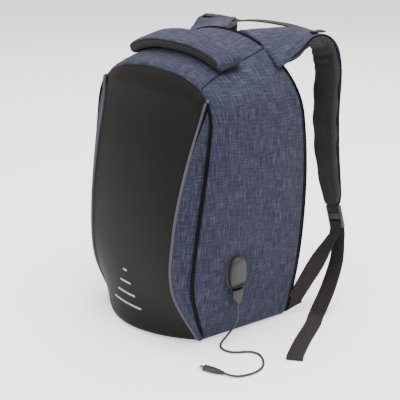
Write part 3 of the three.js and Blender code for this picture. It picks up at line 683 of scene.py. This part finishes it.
# Cable and its two ends
def route_line(points, per_span=9):
    """The centripetal curve through the cable's points."""
    p = np.array(points)
    p = np.array([2 * p[0] - p[1], *p, 2 * p[-1] - p[-2]])
    line = []
    for k in range(1, len(p) - 2):
        quad = p[k - 1:k + 3]
        steps = np.linalg.norm(np.diff(quad, axis=0), axis=1) ** 0.5
        knot = np.concatenate([[0], np.cumsum(steps)])
        last = k == len(p) - 3
        for t in np.linspace(knot[1], knot[2], per_span, endpoint=last):
            level = list(quad)
            for depth in (1, 2, 3):
                level = [
                    ((knot[i + depth] - t) * level[i] + (t - knot[i]) * level[i + 1])
                    / (knot[i + depth] - knot[i])
                    for i in range(4 - depth)
                ]
            line.append(level[0])
    return np.array(line)


def make_cable():
    line = route_line(CABLE_ROUTE)
    data = bpy.data.curves.new("charging_cable", "CURVE")
    data.dimensions = "3D"
    data.bevel_depth = CABLE_DIAMETER / 2
    data.bevel_resolution = 4
    data.use_fill_caps = True
    path = data.splines.new("POLY")
    path.points.add(len(line) - 1)
    path.points.foreach_set("co", np.c_[line, np.ones(len(line))].ravel())
    path.use_smooth = True
    data.materials.append(RUBBER)
    return settle(put("charging_cable", data), "dark_rubber", "cable"), float(run_along(line)[-1])


def make_plug():
    """Grip with a soft waist, then a ringed strain relief, under the port."""
    relief_start = 0.0219
    relief_rings = 4
    low, high = (np.array(p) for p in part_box("cable_plug"))
    middle = (low + high) / 2
    grip_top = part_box("side_port")[0][2] - TOUCH
    reach = grip_top - low[2]
    profile = [
        (0.0, 0.0180, 0.0062), (0.0004, 0.0198, 0.0074), (0.0012, 0.0208, 0.0080),
        (0.0020, 0.0208, 0.0080), (0.0024, 0.0198, 0.0074), (0.0030, 0.0198, 0.0074),
        (0.0034, 0.0204, 0.0079), (0.0110, 0.0186, 0.0078), (0.0150, 0.0146, 0.0075),
        (0.0185, 0.0100, 0.0070), (0.0205, 0.0076, 0.0062), (0.0215, 0.0066, 0.0058),
    ]
    for k in range(relief_rings):
        start = relief_start + k * (reach - relief_start) / relief_rings
        slim = 0.0060 - 0.0004 * k
        profile += [(start, slim - 0.0008, slim - 0.0008)]
        profile += [(start + step, slim, slim) for step in (0.0003, 0.0007)]
    profile = [row for row in profile if row[0] < reach] + [(reach, 0.0046, 0.0046)]
    start = np.array([middle[0], middle[1], grip_top])
    ways = ((0, 0, -1), (0, 1, 0), (1, 0, 0))
    grip = ringed("cable_grip", start, ways, profile, ring_shares(32, 3.2, 3.2), RUBBER)
    return settle(grip, "dark_rubber", "cable_plug")


def make_connector():
    """Ribbed strain relief, grip and bare metal tip, lying on the floor."""
    end, before = np.array(CABLE_ROUTE[-1]), np.array(CABLE_ROUTE[-2])
    along = unit(np.array([*(end - before)[:2], 0.0]))
    ways = (along, (along[1], -along[0], 0.0), (0, 0, 1))
    start = end + along * TOUCH
    profile = [(0.0, 0.0046, 0.0046)]
    for k in range(5):
        rib = 0.0006 + k * 0.0023
        size = 0.0052 + 0.0010 * k
        high = min(0.0050 + 0.0004 * k, 0.0066)
        profile += [
            (rib, size, high), (rib + 0.0013, size + 0.0002, high + 0.0001),
            (rib + 0.0014, size - 0.0009, high - 0.0008),
            (rib + 0.0021, size - 0.0008, high - 0.0008),
        ]
    profile += [
        (0.0124, 0.0098, 0.0064), (0.0135, 0.0108, 0.0069), (0.0180, 0.0110, 0.0070),
        (0.0300, 0.0110, 0.0070), (0.0312, 0.0106, 0.0066), (0.0318, 0.0094, 0.0054),
    ]
    body = ringed("connector_grip", start, ways, profile, ring_shares(32, 3, 3), RUBBER)
    tip_profile = [(0.0310, 0.0070, 0.0022), (0.0374, 0.0070, 0.0022), (0.0379, 0.0064, 0.0017)]
    tip = ringed("connector_tip", start, ways, tip_profile, ring_shares(32, 6, 6), METAL)
    return settle(body, "dark_rubber", "cable_connector"), settle(tip, "dark_rubber")


view_camera()
cable, cable_length = make_cable()
plug = make_plug()
connector, connector_tip = make_connector()


# Body panels
BAND_END = 0.972
SEAM_SHARE = 0.0015
SEAM_ROLL = 0.0022
SEAM_DEPTH = 0.0018
BACK_SEAM_DEPTH = 0.0014
PUCKER = 0.00035
PUCKER_REACH = 0.012
PUCKER_PITCH = 0.017
FOLD_ROLL = 0.0050
FOLD_DEPTH = 0.0042
BROW_FOOT = 0.30
BROW_RUN = 0.07
BROW_ROLL = 0.0110
BROW_DEPTH = 0.0078
CREASE = 0.0022
CREASE_AT = 0.66
CREASE_WIDTH = 0.022


def roll_in(grid, outward, seed, *edges):
    """Turns the cloth in at its seams, with small puckers beside each of them."""
    moved = grid.copy()
    for line, depth in edges:
        gap, run = from_edge(grid, line)
        fade = np.exp(-gap / PUCKER_REACH) * ramp(gap, SEAM_ROLL)
        pucker = PUCKER * fade * np.sin(2 * math.pi * (run + 0.004 * seed) / PUCKER_PITCH)
        moved += outward * (pucker - turned_in(gap, SEAM_ROLL, depth))[..., None]
    return moved


def roll_fold(grid, outward):
    """Turns the cloth over the zip line, by a radius that is fuller at the brow."""
    gap, _ = from_edge(grid, grid[:, 0])
    brow = smooth(ramp(grid[..., 2] - BROW_FOOT, BROW_RUN))
    radius = FOLD_ROLL + (BROW_ROLL - FOLD_ROLL) * brow
    depth = FOLD_DEPTH + (BROW_DEPTH - FOLD_DEPTH) * brow
    return grid - outward * turned_in(gap, radius, depth)[..., None]


def sheet_pair(name, grid, uv, outward, uv_slide, node_name):
    """A sheet on the right and its mirror image, whose weave is slid along, on the left."""
    for (word, flip), slide in zip(SIDES, (0.0, uv_slide)):
        made = sheet_object(f"{name}_{word}", grid * flip, uv + slide, NAVY, outward * flip)
        settle(made, "navy_fabric", f"{node_name}_{word}")


def side_panels():
    foot = 0.003 / ZIP_LINE["shoulder"]
    t = eased(84)[None] * BAND_END
    s = eased(170)[:, None]
    end = seam_q(t[0])[None] - SEAM_SHARE
    grid = skin(foot + (end - foot) * s, t)
    outward = outward_of(grid)
    calm = ramp(np.minimum(t, BAND_END - t), 0.12) * ramp(s, 0.05)
    slack = slack_of(grid, (0.0011, 0.085, 1), (0.0004, 0.03, 2))
    grid = roll_fold(grid + outward * (slack * calm)[..., None], outward)
    grid = roll_in(grid, outward, 3, (grid[-1], SEAM_DEPTH), (grid[:, -1], BACK_SEAM_DEPTH))
    sheet_pair("side_cloth", grid, grid[..., 1:], outward, 0.7, "side_panel")


def top_panel():
    t = eased(78)[None] * BAND_END
    w = 2 * eased(132, 0.5)[:, None] - 1
    half = (2 - seam_q(t[0])[None] - SEAM_SHARE) * math.pi / 2
    angle = np.arcsin(np.abs(w) ** 1.18 * np.sin(half))
    grid = skin(2 - angle * 2 / math.pi, t)
    grid[..., 0] *= np.sign(w)
    outward = outward_of(grid)
    calm = ramp(np.minimum(t, BAND_END - t), 0.15) * ramp(1 - np.abs(w), 0.2)
    slack = slack_of(grid, (0.0009, 0.07, 4), (0.0004, 0.025, 5))
    slack = slack + CREASE * np.exp(-((t - CREASE_AT - 0.05 * w * w) / CREASE_WIDTH) ** 2)
    grid = roll_fold(grid + outward * (slack * calm)[..., None], outward)
    grid = roll_in(grid, outward, 6, (grid[0], SEAM_DEPTH), (grid[-1], SEAM_DEPTH),
                   (grid[:, -1], BACK_SEAM_DEPTH))
    settle(sheet_object("top_cloth", grid, grid[..., :2], NAVY, outward), "navy_fabric", "top_panel")
    for word, row in (("right", -5), ("left", 4)):
        line, facing = grid[row, 6:-6], outward[row, 6:-6]
        stitches(f"seam_stitches_{word}", line, facing, THREAD, "navy_fabric")


def base_panel():
    t = np.linspace(0, BAND_END, 40)[None]
    right = skin_at(np.linspace(0.0026, 0.0002, 8)[:, None], t)
    left = right * MIRROR
    share = np.linspace(0, 1, 26)[1:-1, None, None]
    flat = right[-1][None] * (1 - share) + left[-1][None] * share
    grid = np.concatenate([right, flat, left[::-1]])
    grid[..., 2] = np.maximum(grid[..., 2], 0.0001)
    made = sheet_object("base_cloth", grid, grid[..., :2], NAVY, outward_of(grid))
    settle(made, "navy_fabric", "bottom_panel")


def across_grid(half, height, count):
    """Points in level rows, closer together at both sides, and their shares of half."""
    across = np.sin(np.linspace(-1, 1, count) * math.pi / 2)[None]
    grid = np.zeros((len(half), count, 3))
    grid[..., 0] = half[:, None] * across
    grid[..., 2] = height[:, None]
    return grid, across


def front_panel(q_end):
    """Bowed panel, tucked under the fold at its head and turned under at its foot."""
    tuck, tuck_reach = 0.0075, 0.030
    seam_dip, seam_reach = 0.0016, 0.003
    foot_rows = [0.0, 0.006, 0.014, 0.024, 0.04]
    rows = np.concatenate([foot_rows, np.linspace(0.06, 1, 70), 1 + eased(74, 0.35)[1:]])
    edge = panel_edge(rows)
    margin = np.where(rows < q_end, PIPING_RADIUS + TOUCH, 2 * TOUCH)
    half = np.maximum(edge[:, 0] - margin, 0)
    grid, across = across_grid(half, edge[:, 2], 84)
    arch = skin(np.linspace(q_end, 2, 200), 0.0)
    gap, _ = from_edge(np.abs(grid) * [1, 0, 1], arch * [1, 0, 1])
    side_gap = half[:, None] * (1 - np.abs(across))
    grid[..., 1] = edge[:, 1, None] - bow_at(edge[:, None], across)
    slack = slack_of(grid, (0.0006, 0.09, 8)) * ramp(side_gap, 0.03)
    seam = seam_dip * (1 - ramp(side_gap, seam_reach)) ** 2
    grid[..., 1] += tuck * (1 - ramp(gap, tuck_reach)) ** 3 + seam + slack
    depth = np.linspace(1, 0, 10)[:-1, None]
    below = np.repeat(grid[:1], len(depth), axis=0)
    below[..., 1] = grid[0, :, 1] + (zip_y(0.0) - grid[0, :, 1]) * depth
    below[..., 2] = 0.0002
    grid[:5, :, 1] += heel(grid[:5, :, 2]) * 0.2
    grid = np.concatenate([below, grid])
    uv = np.stack([grid[..., 0], grid[..., 2] - np.maximum(0, grid[..., 1] + 0.1)], -1)
    settle(sheet_object("front_cloth", grid, uv, BLACK, outward_of(grid)), "black_panel", "front_panel")


def wings(q_end):
    """Cloth between the fold and the piping, a little full in its middle."""
    fullness = 0.0042
    fold_inset = [-0.0042, 0.0046, 0]
    rows = np.linspace(0.004, q_end, 150)
    w = eased(26)[None]
    fold = skin(rows, 0.0) + fold_inset
    fold[:, 2] = np.maximum(fold[:, 2], 0.003)
    edge = panel_edge(rows) + [PIPING_RADIUS, 0, 0]
    grid = fold[:, None] * (1 - w[..., None]) + edge[:, None] * w[..., None]
    out = unit(quarter_turn(unit(edge - fold)))
    out = (out * np.sign(out[:, :1] - out[:, 1:2]))[:, None]
    span = np.linalg.norm(edge - fold, axis=1)[:, None]
    full = np.minimum(fullness, span * 0.16) + slack_of(grid, (0.0006, 0.05, 9))
    grid = grid + out * (full * np.sin(math.pi * w))[..., None]
    uv = np.stack([w * span, grid[..., 2]], -1)
    sheet_pair("wing_cloth", grid, uv, np.broadcast_to(out, grid.shape), 0.4, "front_wing")


def pipings(q_end):
    """Grey piping, partly its own grey and partly a painted highlight, on a dark tape, and the dark lip
    of the zip under the fold, painted near black as the zip and as painted shade in the groove there.
    """
    proud, tuck, tuck_start, tuck_run = 0.0002, 0.005, 0.04, 0.07
    tape_back, tape_out, shade_lip_in, shade_lip_back = 0.0030, 0.0004, 0.0034, 0.0006
    rows = np.linspace(0.012, q_end + 0.03, 150)
    line = panel_edge(rows)
    line[:, 1] += proud + tuck * ramp(rows - q_end + tuck_start, tuck_run) ** 2
    line[:, 2] = np.maximum(line[:, 2], PIPING_LOOK + proud)
    fold = skin(rows, 0.0)
    fold[:, 2] = np.maximum(fold[:, 2], 0.004)
    inward = (line - fold) * [1, 1, 0]
    gap = np.linalg.norm(inward, axis=1)
    inward = unit(inward)
    tape_line = line - inward * tape_back + quarter_turn(inward) * tape_out
    tape_wide = np.minimum(0.0062, gap * 0.8)
    shade_lip_line = fold + inward * np.minimum(shade_lip_in, gap * 0.4)[:, None] + [0, shade_lip_back, 0]
    shade_lip_wide = np.minimum(0.0044, gap * 0.5)
    # The piping's grey is partly a painted highlight along the panel's edge.
    swept_pair("edge_piping", line, np.array([1, 0, 0]), 2 * PIPING_LOOK, 2 * PIPING_LOOK, PIPING_AND_HIGHLIGHT,
               "grey_piping", ["panel_piping"])
    swept_pair("piping_tape", tape_line, inward, tape_wide, 0.0014, DARK_EDGE_AND_GROOVE_SHADE, "grey_piping",
               power=(4, 2))
    # The lip is painted near black and dull: the zip's own dark, and painted shade in the groove under
    # the fold.
    swept_pair("zip_lip_and_groove_shade", shade_lip_line, inward, shade_lip_wide, 0.0016, DARK_EDGE_AND_GROOVE_SHADE, "grey_piping",
               power=(3, 2))


def binding():
    rows = np.concatenate([np.linspace(0.012, 1, 90), np.linspace(1, 2, 90)[1:]])
    right = skin(rows, 1.0) - [0, 0.0006, 0]
    right[:, 2] = np.maximum(right[:, 2], BINDING_RADIUS + 0.0001)
    left = right[::-1][1:] * MIRROR
    base = right[0] + (left[-1] - right[0]) * np.linspace(0, 1, 40)[1:-1][::-1, None]
    loop = np.concatenate([right, left, base, right[:1]])
    turned = np.cross(unit(np.gradient(loop, axis=0)), (0, 1.0, 0))
    tube = swept("back_edge_binding", loop, turned, 1.1 * BINDING_RADIUS, BINDING_RADIUS,
                 DARK_EDGE_AND_GROOVE_SHADE, power=(2.2, 2.2))
    settle(tube, "dark_webbing", "back_binding")


def back_panel():
    """Padded mesh panel with a flat margin and two sewn channels."""
    channel_x, channel_width, channel_depth = 0.032, 0.0035, 0.004
    margin_start, margin_run = 0.010, 0.012
    rows = np.concatenate([np.linspace(0.01, 1, 90), 1 + eased(60, 0.35)[1:]])
    edge = skin(rows, 1.0)
    grid, across = across_grid(np.maximum(edge[:, 0] - 0.0012, 0), edge[:, 2], 96)
    rise = 2 * grid[..., 2] / BODY_HEIGHT - 1
    pad = BACK_PADDING * np.sqrt(np.clip(1 - across**6, 0, 1) * np.clip(1 - rise**8, 0, 1))
    boundary = np.concatenate([edge, edge[::-1] * MIRROR])
    gap, _ = from_edge(grid * [1, 0, 1], boundary * [1, 0, 1])
    margin = ramp(gap - margin_start, margin_run)
    beside = (np.abs(grid[..., 0]) - channel_x) / channel_width
    pad += slack_of(grid, (0.0008, 0.05, 11))
    padded = pad * np.sin(margin * math.pi / 2) - channel_depth * np.exp(-beside**2) * margin
    grid[..., 1] = (back_y(edge[:, 2]) - heel(edge[:, 2]))[:, None] + padded
    made = sheet_object("back_padding", grid, grid[..., ::2], MESH, np.array([0, 1.0, 0]))
    settle(made, "spacer_mesh", "back_panel", fill=0.4)


def reflective_bars():
    for k, (height, length) in enumerate(BARS):
        z = height * BODY_HEIGHT
        edge = panel_edge(np.array([z / ZIP_LINE["shoulder"]]))[0]
        x = np.linspace(-1, 1, 40) * length * ZIP_WIDTH / 2
        y = edge[1] - bow_at(edge[None], x / edge[0]) - 0.0004
        line = np.stack([x, y, np.full(40, z)], -1)
        strip = swept(f"bar_{k + 1}", line, (0, 0, 1), BAR_WIDTH, BAR_THICKNESS, FILM,
                      power=(3, 2.2), count=16)
        settle(strip, "reflective_film", f"reflective_bar_{k + 1}")


# Handle, straps and webbing
def grab_handle():
    """Padded grip and its cover, which wraps round the pad at both ends."""
    foot_start, foot_run, foot_inset = 0.9, 0.06, 0.004
    cover_inset, cover_spread, cover_sink, cover_crown = 0.0006, 0.0016, 0.0012, 0.0005
    q = HANDLE_END + (2 - HANDLE_END) * np.linspace(0, 1, 46) ** 0.85
    right = skin(q, HANDLE_SEAT)
    width_way = unit(skin(q, HANDLE_SEAT + 0.05) - skin(q, HANDLE_SEAT - 0.05))
    at = np.concatenate([right, right[::-1][1:] * MIRROR])
    hint = np.concatenate([width_way, width_way[::-1][1:] * MIRROR])
    spread = np.abs(at[:, 0]) / right[0, 0]
    rise = HANDLE_RISE * (1 - spread**4)
    foot = ramp(spread - foot_start, foot_run)
    pad = swept("handle_padding", at, hint, HANDLE_WIDTH - foot_inset * foot, HANDLE_PAD_LOOK, MESH,
                lift=rise + HANDLE_PAD_LOOK / 2, power=(6, 4.5), count=60, rumple=0.0005, seed=20)
    settle(pad, "spacer_mesh", "handle_pad", fill=0.6)
    thick = HANDLE_COVER_LOOK + foot * (HANDLE_PAD_LOOK - 0.001)
    full = HANDLE_PAD_LOOK + HANDLE_COVER_LOOK - cover_sink
    wide = HANDLE_WIDTH - cover_inset + cover_spread * foot
    cloth = swept("handle_cloth", at, hint, wide, thick, NAVY, lift=rise + full - thick / 2,
                  crown=cover_crown * (1 - foot), power=(7, 2.2), count=44, rumple=0.0004, seed=21)
    settle(cloth, "navy_fabric", "handle_cover")


STRAP_COUNT = 130
STRAP_X, STRAP_Y, STRAP_Z, STRAP_WIDE, STRAP_THICK, STRAP_CROWN, STRAP_ROLL, STRAP_YAW = (
    spline(STRAP_ROWS, STRAP_COUNT).T)
STRAP_ROLL = np.radians(STRAP_ROLL)
STRAP_YAW = np.radians(STRAP_YAW)
STRAP_WIDE = STRAP_WIDE * STRAP_WIDTH
STRAP_CROWN = STRAP_CROWN * STRAP_WIDTH
STRAP_TOP = (STRAP_PAD + LAYER_GAP + STRAP_COVER) * STRAP_THICK
STRAP_AT = np.stack([
    STRAP_X * BACK_LINE["half"],
    back_y(STRAP_ROWS[0][2] * BODY_HEIGHT) + STRAP_Y * STRAP_HANG,
    STRAP_Z * BODY_HEIGHT,
], -1)
STRAP_HINT = np.stack([
    np.cos(STRAP_YAW) * np.cos(STRAP_ROLL), np.sin(STRAP_YAW), -np.sin(STRAP_ROLL)], -1)
_, STRAP_ACROSS, STRAP_UP = framed(STRAP_AT, STRAP_HINT)


def strap_creases(run, u, v):
    """Creases inside the bend over the shoulder, and a slow sway of both edges."""
    bend_at, bend_run, crease_pitch, sway_pitch = 0.112, 0.03, 0.013, 0.047
    bend = np.exp(-((run - bend_at) / bend_run) ** 2)
    inner = np.clip(-v, 0, 1)
    wave = np.sin(2 * math.pi * run / crease_pitch + 1.5 * u)
    edge = np.clip(np.abs(u) - 0.6, 0, 0.4) / 0.4
    sway = 0.0011 * edge * np.sin(2 * math.pi * run / sway_pitch + 2 * np.sign(u))
    return 0.0007 * bend * inner * wave + sway


def shoulder_straps():
    inset = 0.003
    share = np.linspace(0, 1, STRAP_COUNT)
    root = ramp(0.17 - share, 0.08)
    end = ramp(share - 0.93, 0.07)
    slim = 1 - 0.28 * end**2
    pad_thick = STRAP_PAD * STRAP_THICK
    cover = (STRAP_COVER + 0.9 * root * STRAP_PAD) * STRAP_THICK
    for word, flip in SIDES:
        at, hint = STRAP_AT * flip, STRAP_HINT * flip * flip[0]
        pad = swept(f"strap_padding_{word}", at, hint, (STRAP_WIDE - inset * root) * slim,
                    pad_thick, MESH, lift=pad_thick / 2, crown=STRAP_CROWN, power=(6, 2.6),
                    count=52, rumple=0.0006, seed=30, extra=strap_creases)
        settle(pad, "spacer_mesh", f"strap_pad_{word}", fill=0.5)
        cloth = swept(f"strap_cloth_{word}", at, hint, (STRAP_WIDE - inset * (1 - root)) * slim,
                      cover, NAVY, lift=STRAP_TOP - cover / 2, crown=STRAP_CROWN,
                      power=(8, 2.2), count=52, rumple=0.0004, seed=31)
        settle(cloth, "navy_fabric", f"strap_cover_{word}")


def strap_surface(k, u):
    """Place on the cloth of the right strap at station k and share u across it."""
    height = STRAP_TOP[k] + 4 * TOUCH + WEBBING_THICKNESS / 2 - STRAP_CROWN[k] * u * u
    return STRAP_AT[k] + STRAP_ACROSS[k] * u * STRAP_WIDE[k] / 2 + STRAP_UP[k] * height


def hang_loop():
    """Tape across both straps, sewn down with two rows of stitches on each."""
    strap_row = 4
    k = int(round(strap_row / (len(STRAP_ROWS) - 1) * (STRAP_COUNT - 1)))
    seats = [strap_surface(k, u) for u in (0.8, 0.4, 0, -0.5, -0.95)]
    inner = seats[-1]
    bridge = [inner * [x, 1, 1] + [0, 0, rise * HANG_LOOP_RISE]
              for x, rise in ((0.75, 0.45), (0.45, 0.85), (0.2, 1))]
    right = np.array([*seats, *bridge])
    top = inner * [0, 1, 1] + [0, 0, HANG_LOOP_RISE]
    line = spline(np.concatenate([right, [top], right[::-1] * MIRROR]), 120)
    tape = swept("hang_loop_tape", line, (0, 1, 0), HANG_LOOP_WIDTH, LOOP_THICK, TAPE,
                 power=(9, 2.4), count=28, rumple=0.00025, seed=40)
    settle(tape, "dark_webbing", "hang_loop")
    _, across, up = framed(line, np.broadcast_to([0, 1.0, 0], line.shape))
    raised = line + up * LOOP_THICK / 2
    for word, rows in (("right", slice(5, 26)), ("left", slice(94, 115))):
        for end, offset in (("front", -0.35), ("back", 0.35)):
            row = raised[rows] + across[rows] * offset * HANG_LOOP_WIDTH
            stitches(f"loop_stitches_{word}_{end}", row, up[rows], DARK_THREAD, "dark_webbing")


def lock_frame():
    """Middle of the right lock, and its ways along, across and up."""
    along = unit(STRAP_AT[-1] - STRAP_AT[-10])
    across = unit(STRAP_HINT[-1] - along * (STRAP_HINT[-1] @ along))
    up = np.cross(across, along)
    middle = STRAP_AT[-1] + up * STRAP_TOP[-1] / 2 + along * (TOUCH + LOCK_LENGTH / 2)
    return middle, along, across, up


LOCK_MIDDLE, LOCK_ALONG, LOCK_ACROSS, LOCK_UP = lock_frame()


def lock_place(reach, lift):
    """Place in the right lock: reach along it, lift in shares of BAR_CLEAR."""
    return LOCK_MIDDLE + LOCK_ALONG * reach + LOCK_UP * lift * BAR_CLEAR


def bevelled_copy(node_name, piece_name, material, size):
    """A solid's own mesh with its flat faces joined and its edges rounded."""
    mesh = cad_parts[node_name].data.copy()
    made = put(piece_name, mesh)
    mesh.materials.clear()
    mesh.materials.append(material)
    edit = bmesh.new()
    edit.from_mesh(mesh)
    bmesh.ops.remove_doubles(edit, verts=edit.verts, dist=1e-5)
    bmesh.ops.dissolve_limit(edit, angle_limit=0.02, verts=edit.verts, edges=edit.edges)
    edit.to_mesh(mesh)
    edit.free()
    uv = mesh.uv_layers.get("cloth") or mesh.uv_layers.new(name="cloth")
    for loop in mesh.loops:
        place = mesh.vertices[loop.vertex_index].co
        uv.data[loop.index].uv = (place.x + place.y, place.z)
    for name, value in (("material_index", 0), ("use_smooth", True)):
        mesh.polygons.foreach_set(name, [value] * len(mesh.polygons))
    rounding = made.modifiers.new("rounding", "BEVEL")
    rounding.width = size
    rounding.segments = 3
    rounding.limit_method = "ANGLE"
    rounding.harden_normals = True
    return made


def locks_and_tabs():
    for word, _ in SIDES:
        lock = bevelled_copy(f"ladder_lock_{word}", f"lock_{word}", PLASTIC, 0.0009)
        settle(lock, "black_plastic", f"ladder_lock_{word}")
        tab = bevelled_copy(f"base_tab_{word}", f"seam_tab_{word}", TAPE, 0.0005)
        settle(tab, "dark_webbing", f"base_tab_{word}")


def lower_webbing():
    """Webbing from the tab in the back seam up into the lock, turning on the way."""
    tab_foot, tab_head, tab_reach, point_rise = 0.006, 0.050, 0.015, 0.014
    into_tab, into_lock = 0.011, 0.004
    foot = skin_at(tab_foot, 1.0)
    head = skin_at(tab_head, 1.0)
    out = unit((head - foot) * [1, 1, 0])
    point = foot + out * (out @ (head - foot) + tab_reach)
    point[2] = foot[2] + point_rise
    middle = (head + point) / 2
    lock_foot = lock_place(TOUCH + LOCK_LENGTH / 2, 0)
    start = middle - unit(lock_foot - middle) * into_tab
    end = lock_foot + LOCK_ALONG * into_lock - LOCK_UP * BAR_CLEAR
    share = np.linspace(0, 1, 60)[::4]
    turned = np.interp(share, (0, 0.3, 0.6, 0.85, 1), (0, 0.15, 0.5, 0.9, 1))[:, None]
    into = [lock_place(*spot) for spot in ((0.013, -1), (0.0095, -0.8), (0.0068, 0), (0.006, 0.6))]
    line = spline([*(start + (end - start) * share[:, None]), *into], 90)
    hint = unit(point - head) * (1 - turned) + LOCK_ACROSS * turned
    hint = spline([*hint, *[LOCK_ACROSS] * len(into)], 90)
    swept_pair("lower_tape", line, hint, WEBBING, WEBBING_THICKNESS, TAPE, "dark_webbing",
               ["lower_webbing"], seed=50, **WOVEN)


def strap_ends():
    """Webbing from each strap's end round the lock's upper bar and back."""
    line = spline([lock_place(*spot) for spot in (
        (-0.032, 0.3), (-0.0225, 0.5), (-0.017, 1), (-0.0108, 1), (-0.0083, 0),
        (-0.0108, -1), (-0.017, -1), (-0.0225, -0.5), (-0.032, -0.3))], 80)
    layers = lock_place(-0.0072, 0) + LOCK_UP * np.linspace(-0.0030, 0.0030, 7)[:, None]
    swept_pair("strap_end_tape", line, LOCK_ACROSS, WEBBING - 0.001, 0.0026, TAPE,
               "dark_webbing", seed=51, **WOVEN)
    swept_pair("slot_webbing", layers, LOCK_ACROSS, WEBBING - 0.002, 0.0047, TAPE,
               "dark_webbing", power=(10, 4), count=28)


def loose_tails():
    """Loose end of each strap's webbing, down to the floor, with a folded hem."""
    count = 150
    hem_start, hem_thickness, hem_lift = 0.93, 0.0029, 0.00045
    first = [
        LOCK_MIDDLE - LOCK_ALONG * 0.0062 - LOCK_UP * 0.0036, lock_place(-0.002, 1),
        lock_place(LOCK_LENGTH / 2, 1),
    ]
    hem = np.linspace(0, 1, count) > hem_start
    thick = np.where(hem, hem_thickness, WEBBING_THICKNESS)
    lift = np.where(hem, hem_lift, 0.0)
    tails = ((RIGHT_TAIL, RIGHT_TAIL_TURN), (LEFT_TAIL, LEFT_TAIL_TURN))
    for (word, flip), (rows, turn) in zip(SIDES, tails):
        scale = [BACK_LINE["half"], BACK_REACH, LOCK_MIDDLE[2]]
        places = np.array([*first, *(np.array(rows) * scale + [0, 0, WEBBING_THICKNESS / 2])])
        share = np.clip(np.arange(len(places)) - 2, 0, 4)[:, None] / 4
        line, hint = (
            spline(values, count)
            for values in (places, LOCK_ACROSS * (1 - share) + np.array(turn) * share))
        line[:, 2] = np.maximum(line[:, 2], WEBBING_THICKNESS / 2 + 0.0002)
        _, _, up = framed(line, hint)
        tape = swept(f"loose_tape_{word}", line * flip, hint * flip, WEBBING, thick, TAPE,
                     lift=lift * np.sign(up[:, 2]) * flip[0], seed=52, **WOVEN)
        settle(tape, "dark_webbing", f"strap_tail_{word}")


def port_body(name, seat, deep, rows, size, foot_power, material):
    """Port piece: rows give width, height and lift; its foot is squarer than its head."""
    count, head_power = 64, 2.5
    power = np.where(np.arange(count) > count / 2, foot_power, head_power)
    profile = [(deep * lift, wide * size[0], tall * size[1]) for wide, tall, lift in rows]
    ways = ((1, 0, 0), (0, 1, 0), (0, 0, 1))
    return ringed(name, seat, ways, profile, ring_shares(count, power, power), material)


def side_port():
    """Rubber port: a dark flange, partly painted shade round its foot, a raised grey face with a flat
    foot, and two ribs there.
    """
    low, high = (np.array(p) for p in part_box("side_port"))
    seat = np.array([low[0] + PORT_SEAT, *(low + high)[1:] / 2])
    deep = high[0] - seat[0]
    flange = [
        (1.00, 1.00, -0.10), (1.00, 1.00, 0.12), (0.985, 0.99, 0.2), (0.93, 0.955, 0.26),
        (0.90, 0.935, 0.30), (0.86, 0.90, 0.31), (0.3, 0.5, 0.31),
    ]
    # The flange is painted darker than the face, partly as painted shade round the port's foot.
    shell = port_body("port_shell", seat, deep, flange, (PORT_WIDTH, PORT_LENGTH), 2.7, DARK_RUBBER_AND_RIM_SHADE)
    settle(shell, "dark_rubber", "side_port")
    raised = [
        (1.0, 1.0, 0.2), (0.985, 0.99, 0.6), (0.95, 0.965, 0.78), (0.87, 0.91, 0.9),
        (0.80, 0.86, 0.935), (0.76, 0.83, 0.94), (0.70, 0.79, 1.0), (0.64, 0.75, 1.02),
        (0.3, 0.5, 1.03), (0.08, 0.1, 1.03),
    ]
    face_size = (PORT_WIDTH * 0.74, PORT_LENGTH * 0.86)
    face = port_body("port_face", seat, deep, raised, face_size, 4.5, RUBBER)
    settle(face, "dark_rubber")
    rib_height, rib_pitch, rib_half, rib_sink = 0.0062, 0.0036, 0.0118, 0.0006
    for k in range(2):
        z = low[2] + rib_height + rib_pitch * k
        y = np.linspace(-1, 1, 24) * rib_half
        x = seat[0] + deep * (1.02 - 0.6 * (np.abs(y) / 0.014) ** 5) - rib_sink * (1 - k)
        line = np.stack([x, seat[1] + y, np.full(24, z)], -1)
        rib = swept(f"port_rib_{k + 1}", line, (0, 0, 1), 0.0016, 0.0022, DARK_RUBBER_AND_RIM_SHADE)
        settle(rib, "dark_rubber")


# Lamps: place, width and power
LAMPS = (
    ("key", (0.4, -2.2, 2.3), 2.6, 24),
    ("side", (2.4, 0.6, 1.6), 2.2, 12),
    ("top", (0.1, 0.2, 2.6), 2.2, 135),
    ("back", (-1.6, 1.8, 1.6), 1.6, 14),
)


def studio():
    floor_data = bpy.data.meshes.new("floor")
    edit = bmesh.new()
    bmesh.ops.create_grid(edit, x_segments=1, y_segments=1, size=6)
    edit.to_mesh(floor_data)
    edit.free()
    look = Look("pale_floor", (0.9, 0.9, 0.9), 0.8, Specular_IOR_Level=0.1,
                Emission_Strength=0.7, Emission_Color=(1, 1, 1))
    floor_data.materials.append(look.material)
    put("floor", floor_data)
    world = bpy.data.worlds.new("studio")
    world.use_nodes = True
    background = world.node_tree.nodes["Background"].inputs
    background["Color"].default_value = (1, 1, 1, 1)
    background["Strength"].default_value = 0.8
    bpy.context.scene.world = world
    for name, place, size, power in LAMPS:
        data = bpy.data.lights.new(name, "AREA")
        data.shape = "DISK"
        data.size = size
        data.energy = power
        lamp = put(name, data)
        lamp.location = place
        aim = Vector(BODY_MIDDLE) - Vector(place)
        lamp.rotation_euler = aim.to_track_quat("-Z", "Y").to_euler()


studio()
WING_END = wing_end()
side_panels()
top_panel()
base_panel()
front_panel(WING_END)
wings(WING_END)
pipings(WING_END)
binding()
back_panel()
reflective_bars()
grab_handle()
shoulder_straps()
hang_loop()
locks_and_tabs()
lower_webbing()
strap_ends()
loose_tails()
side_port()
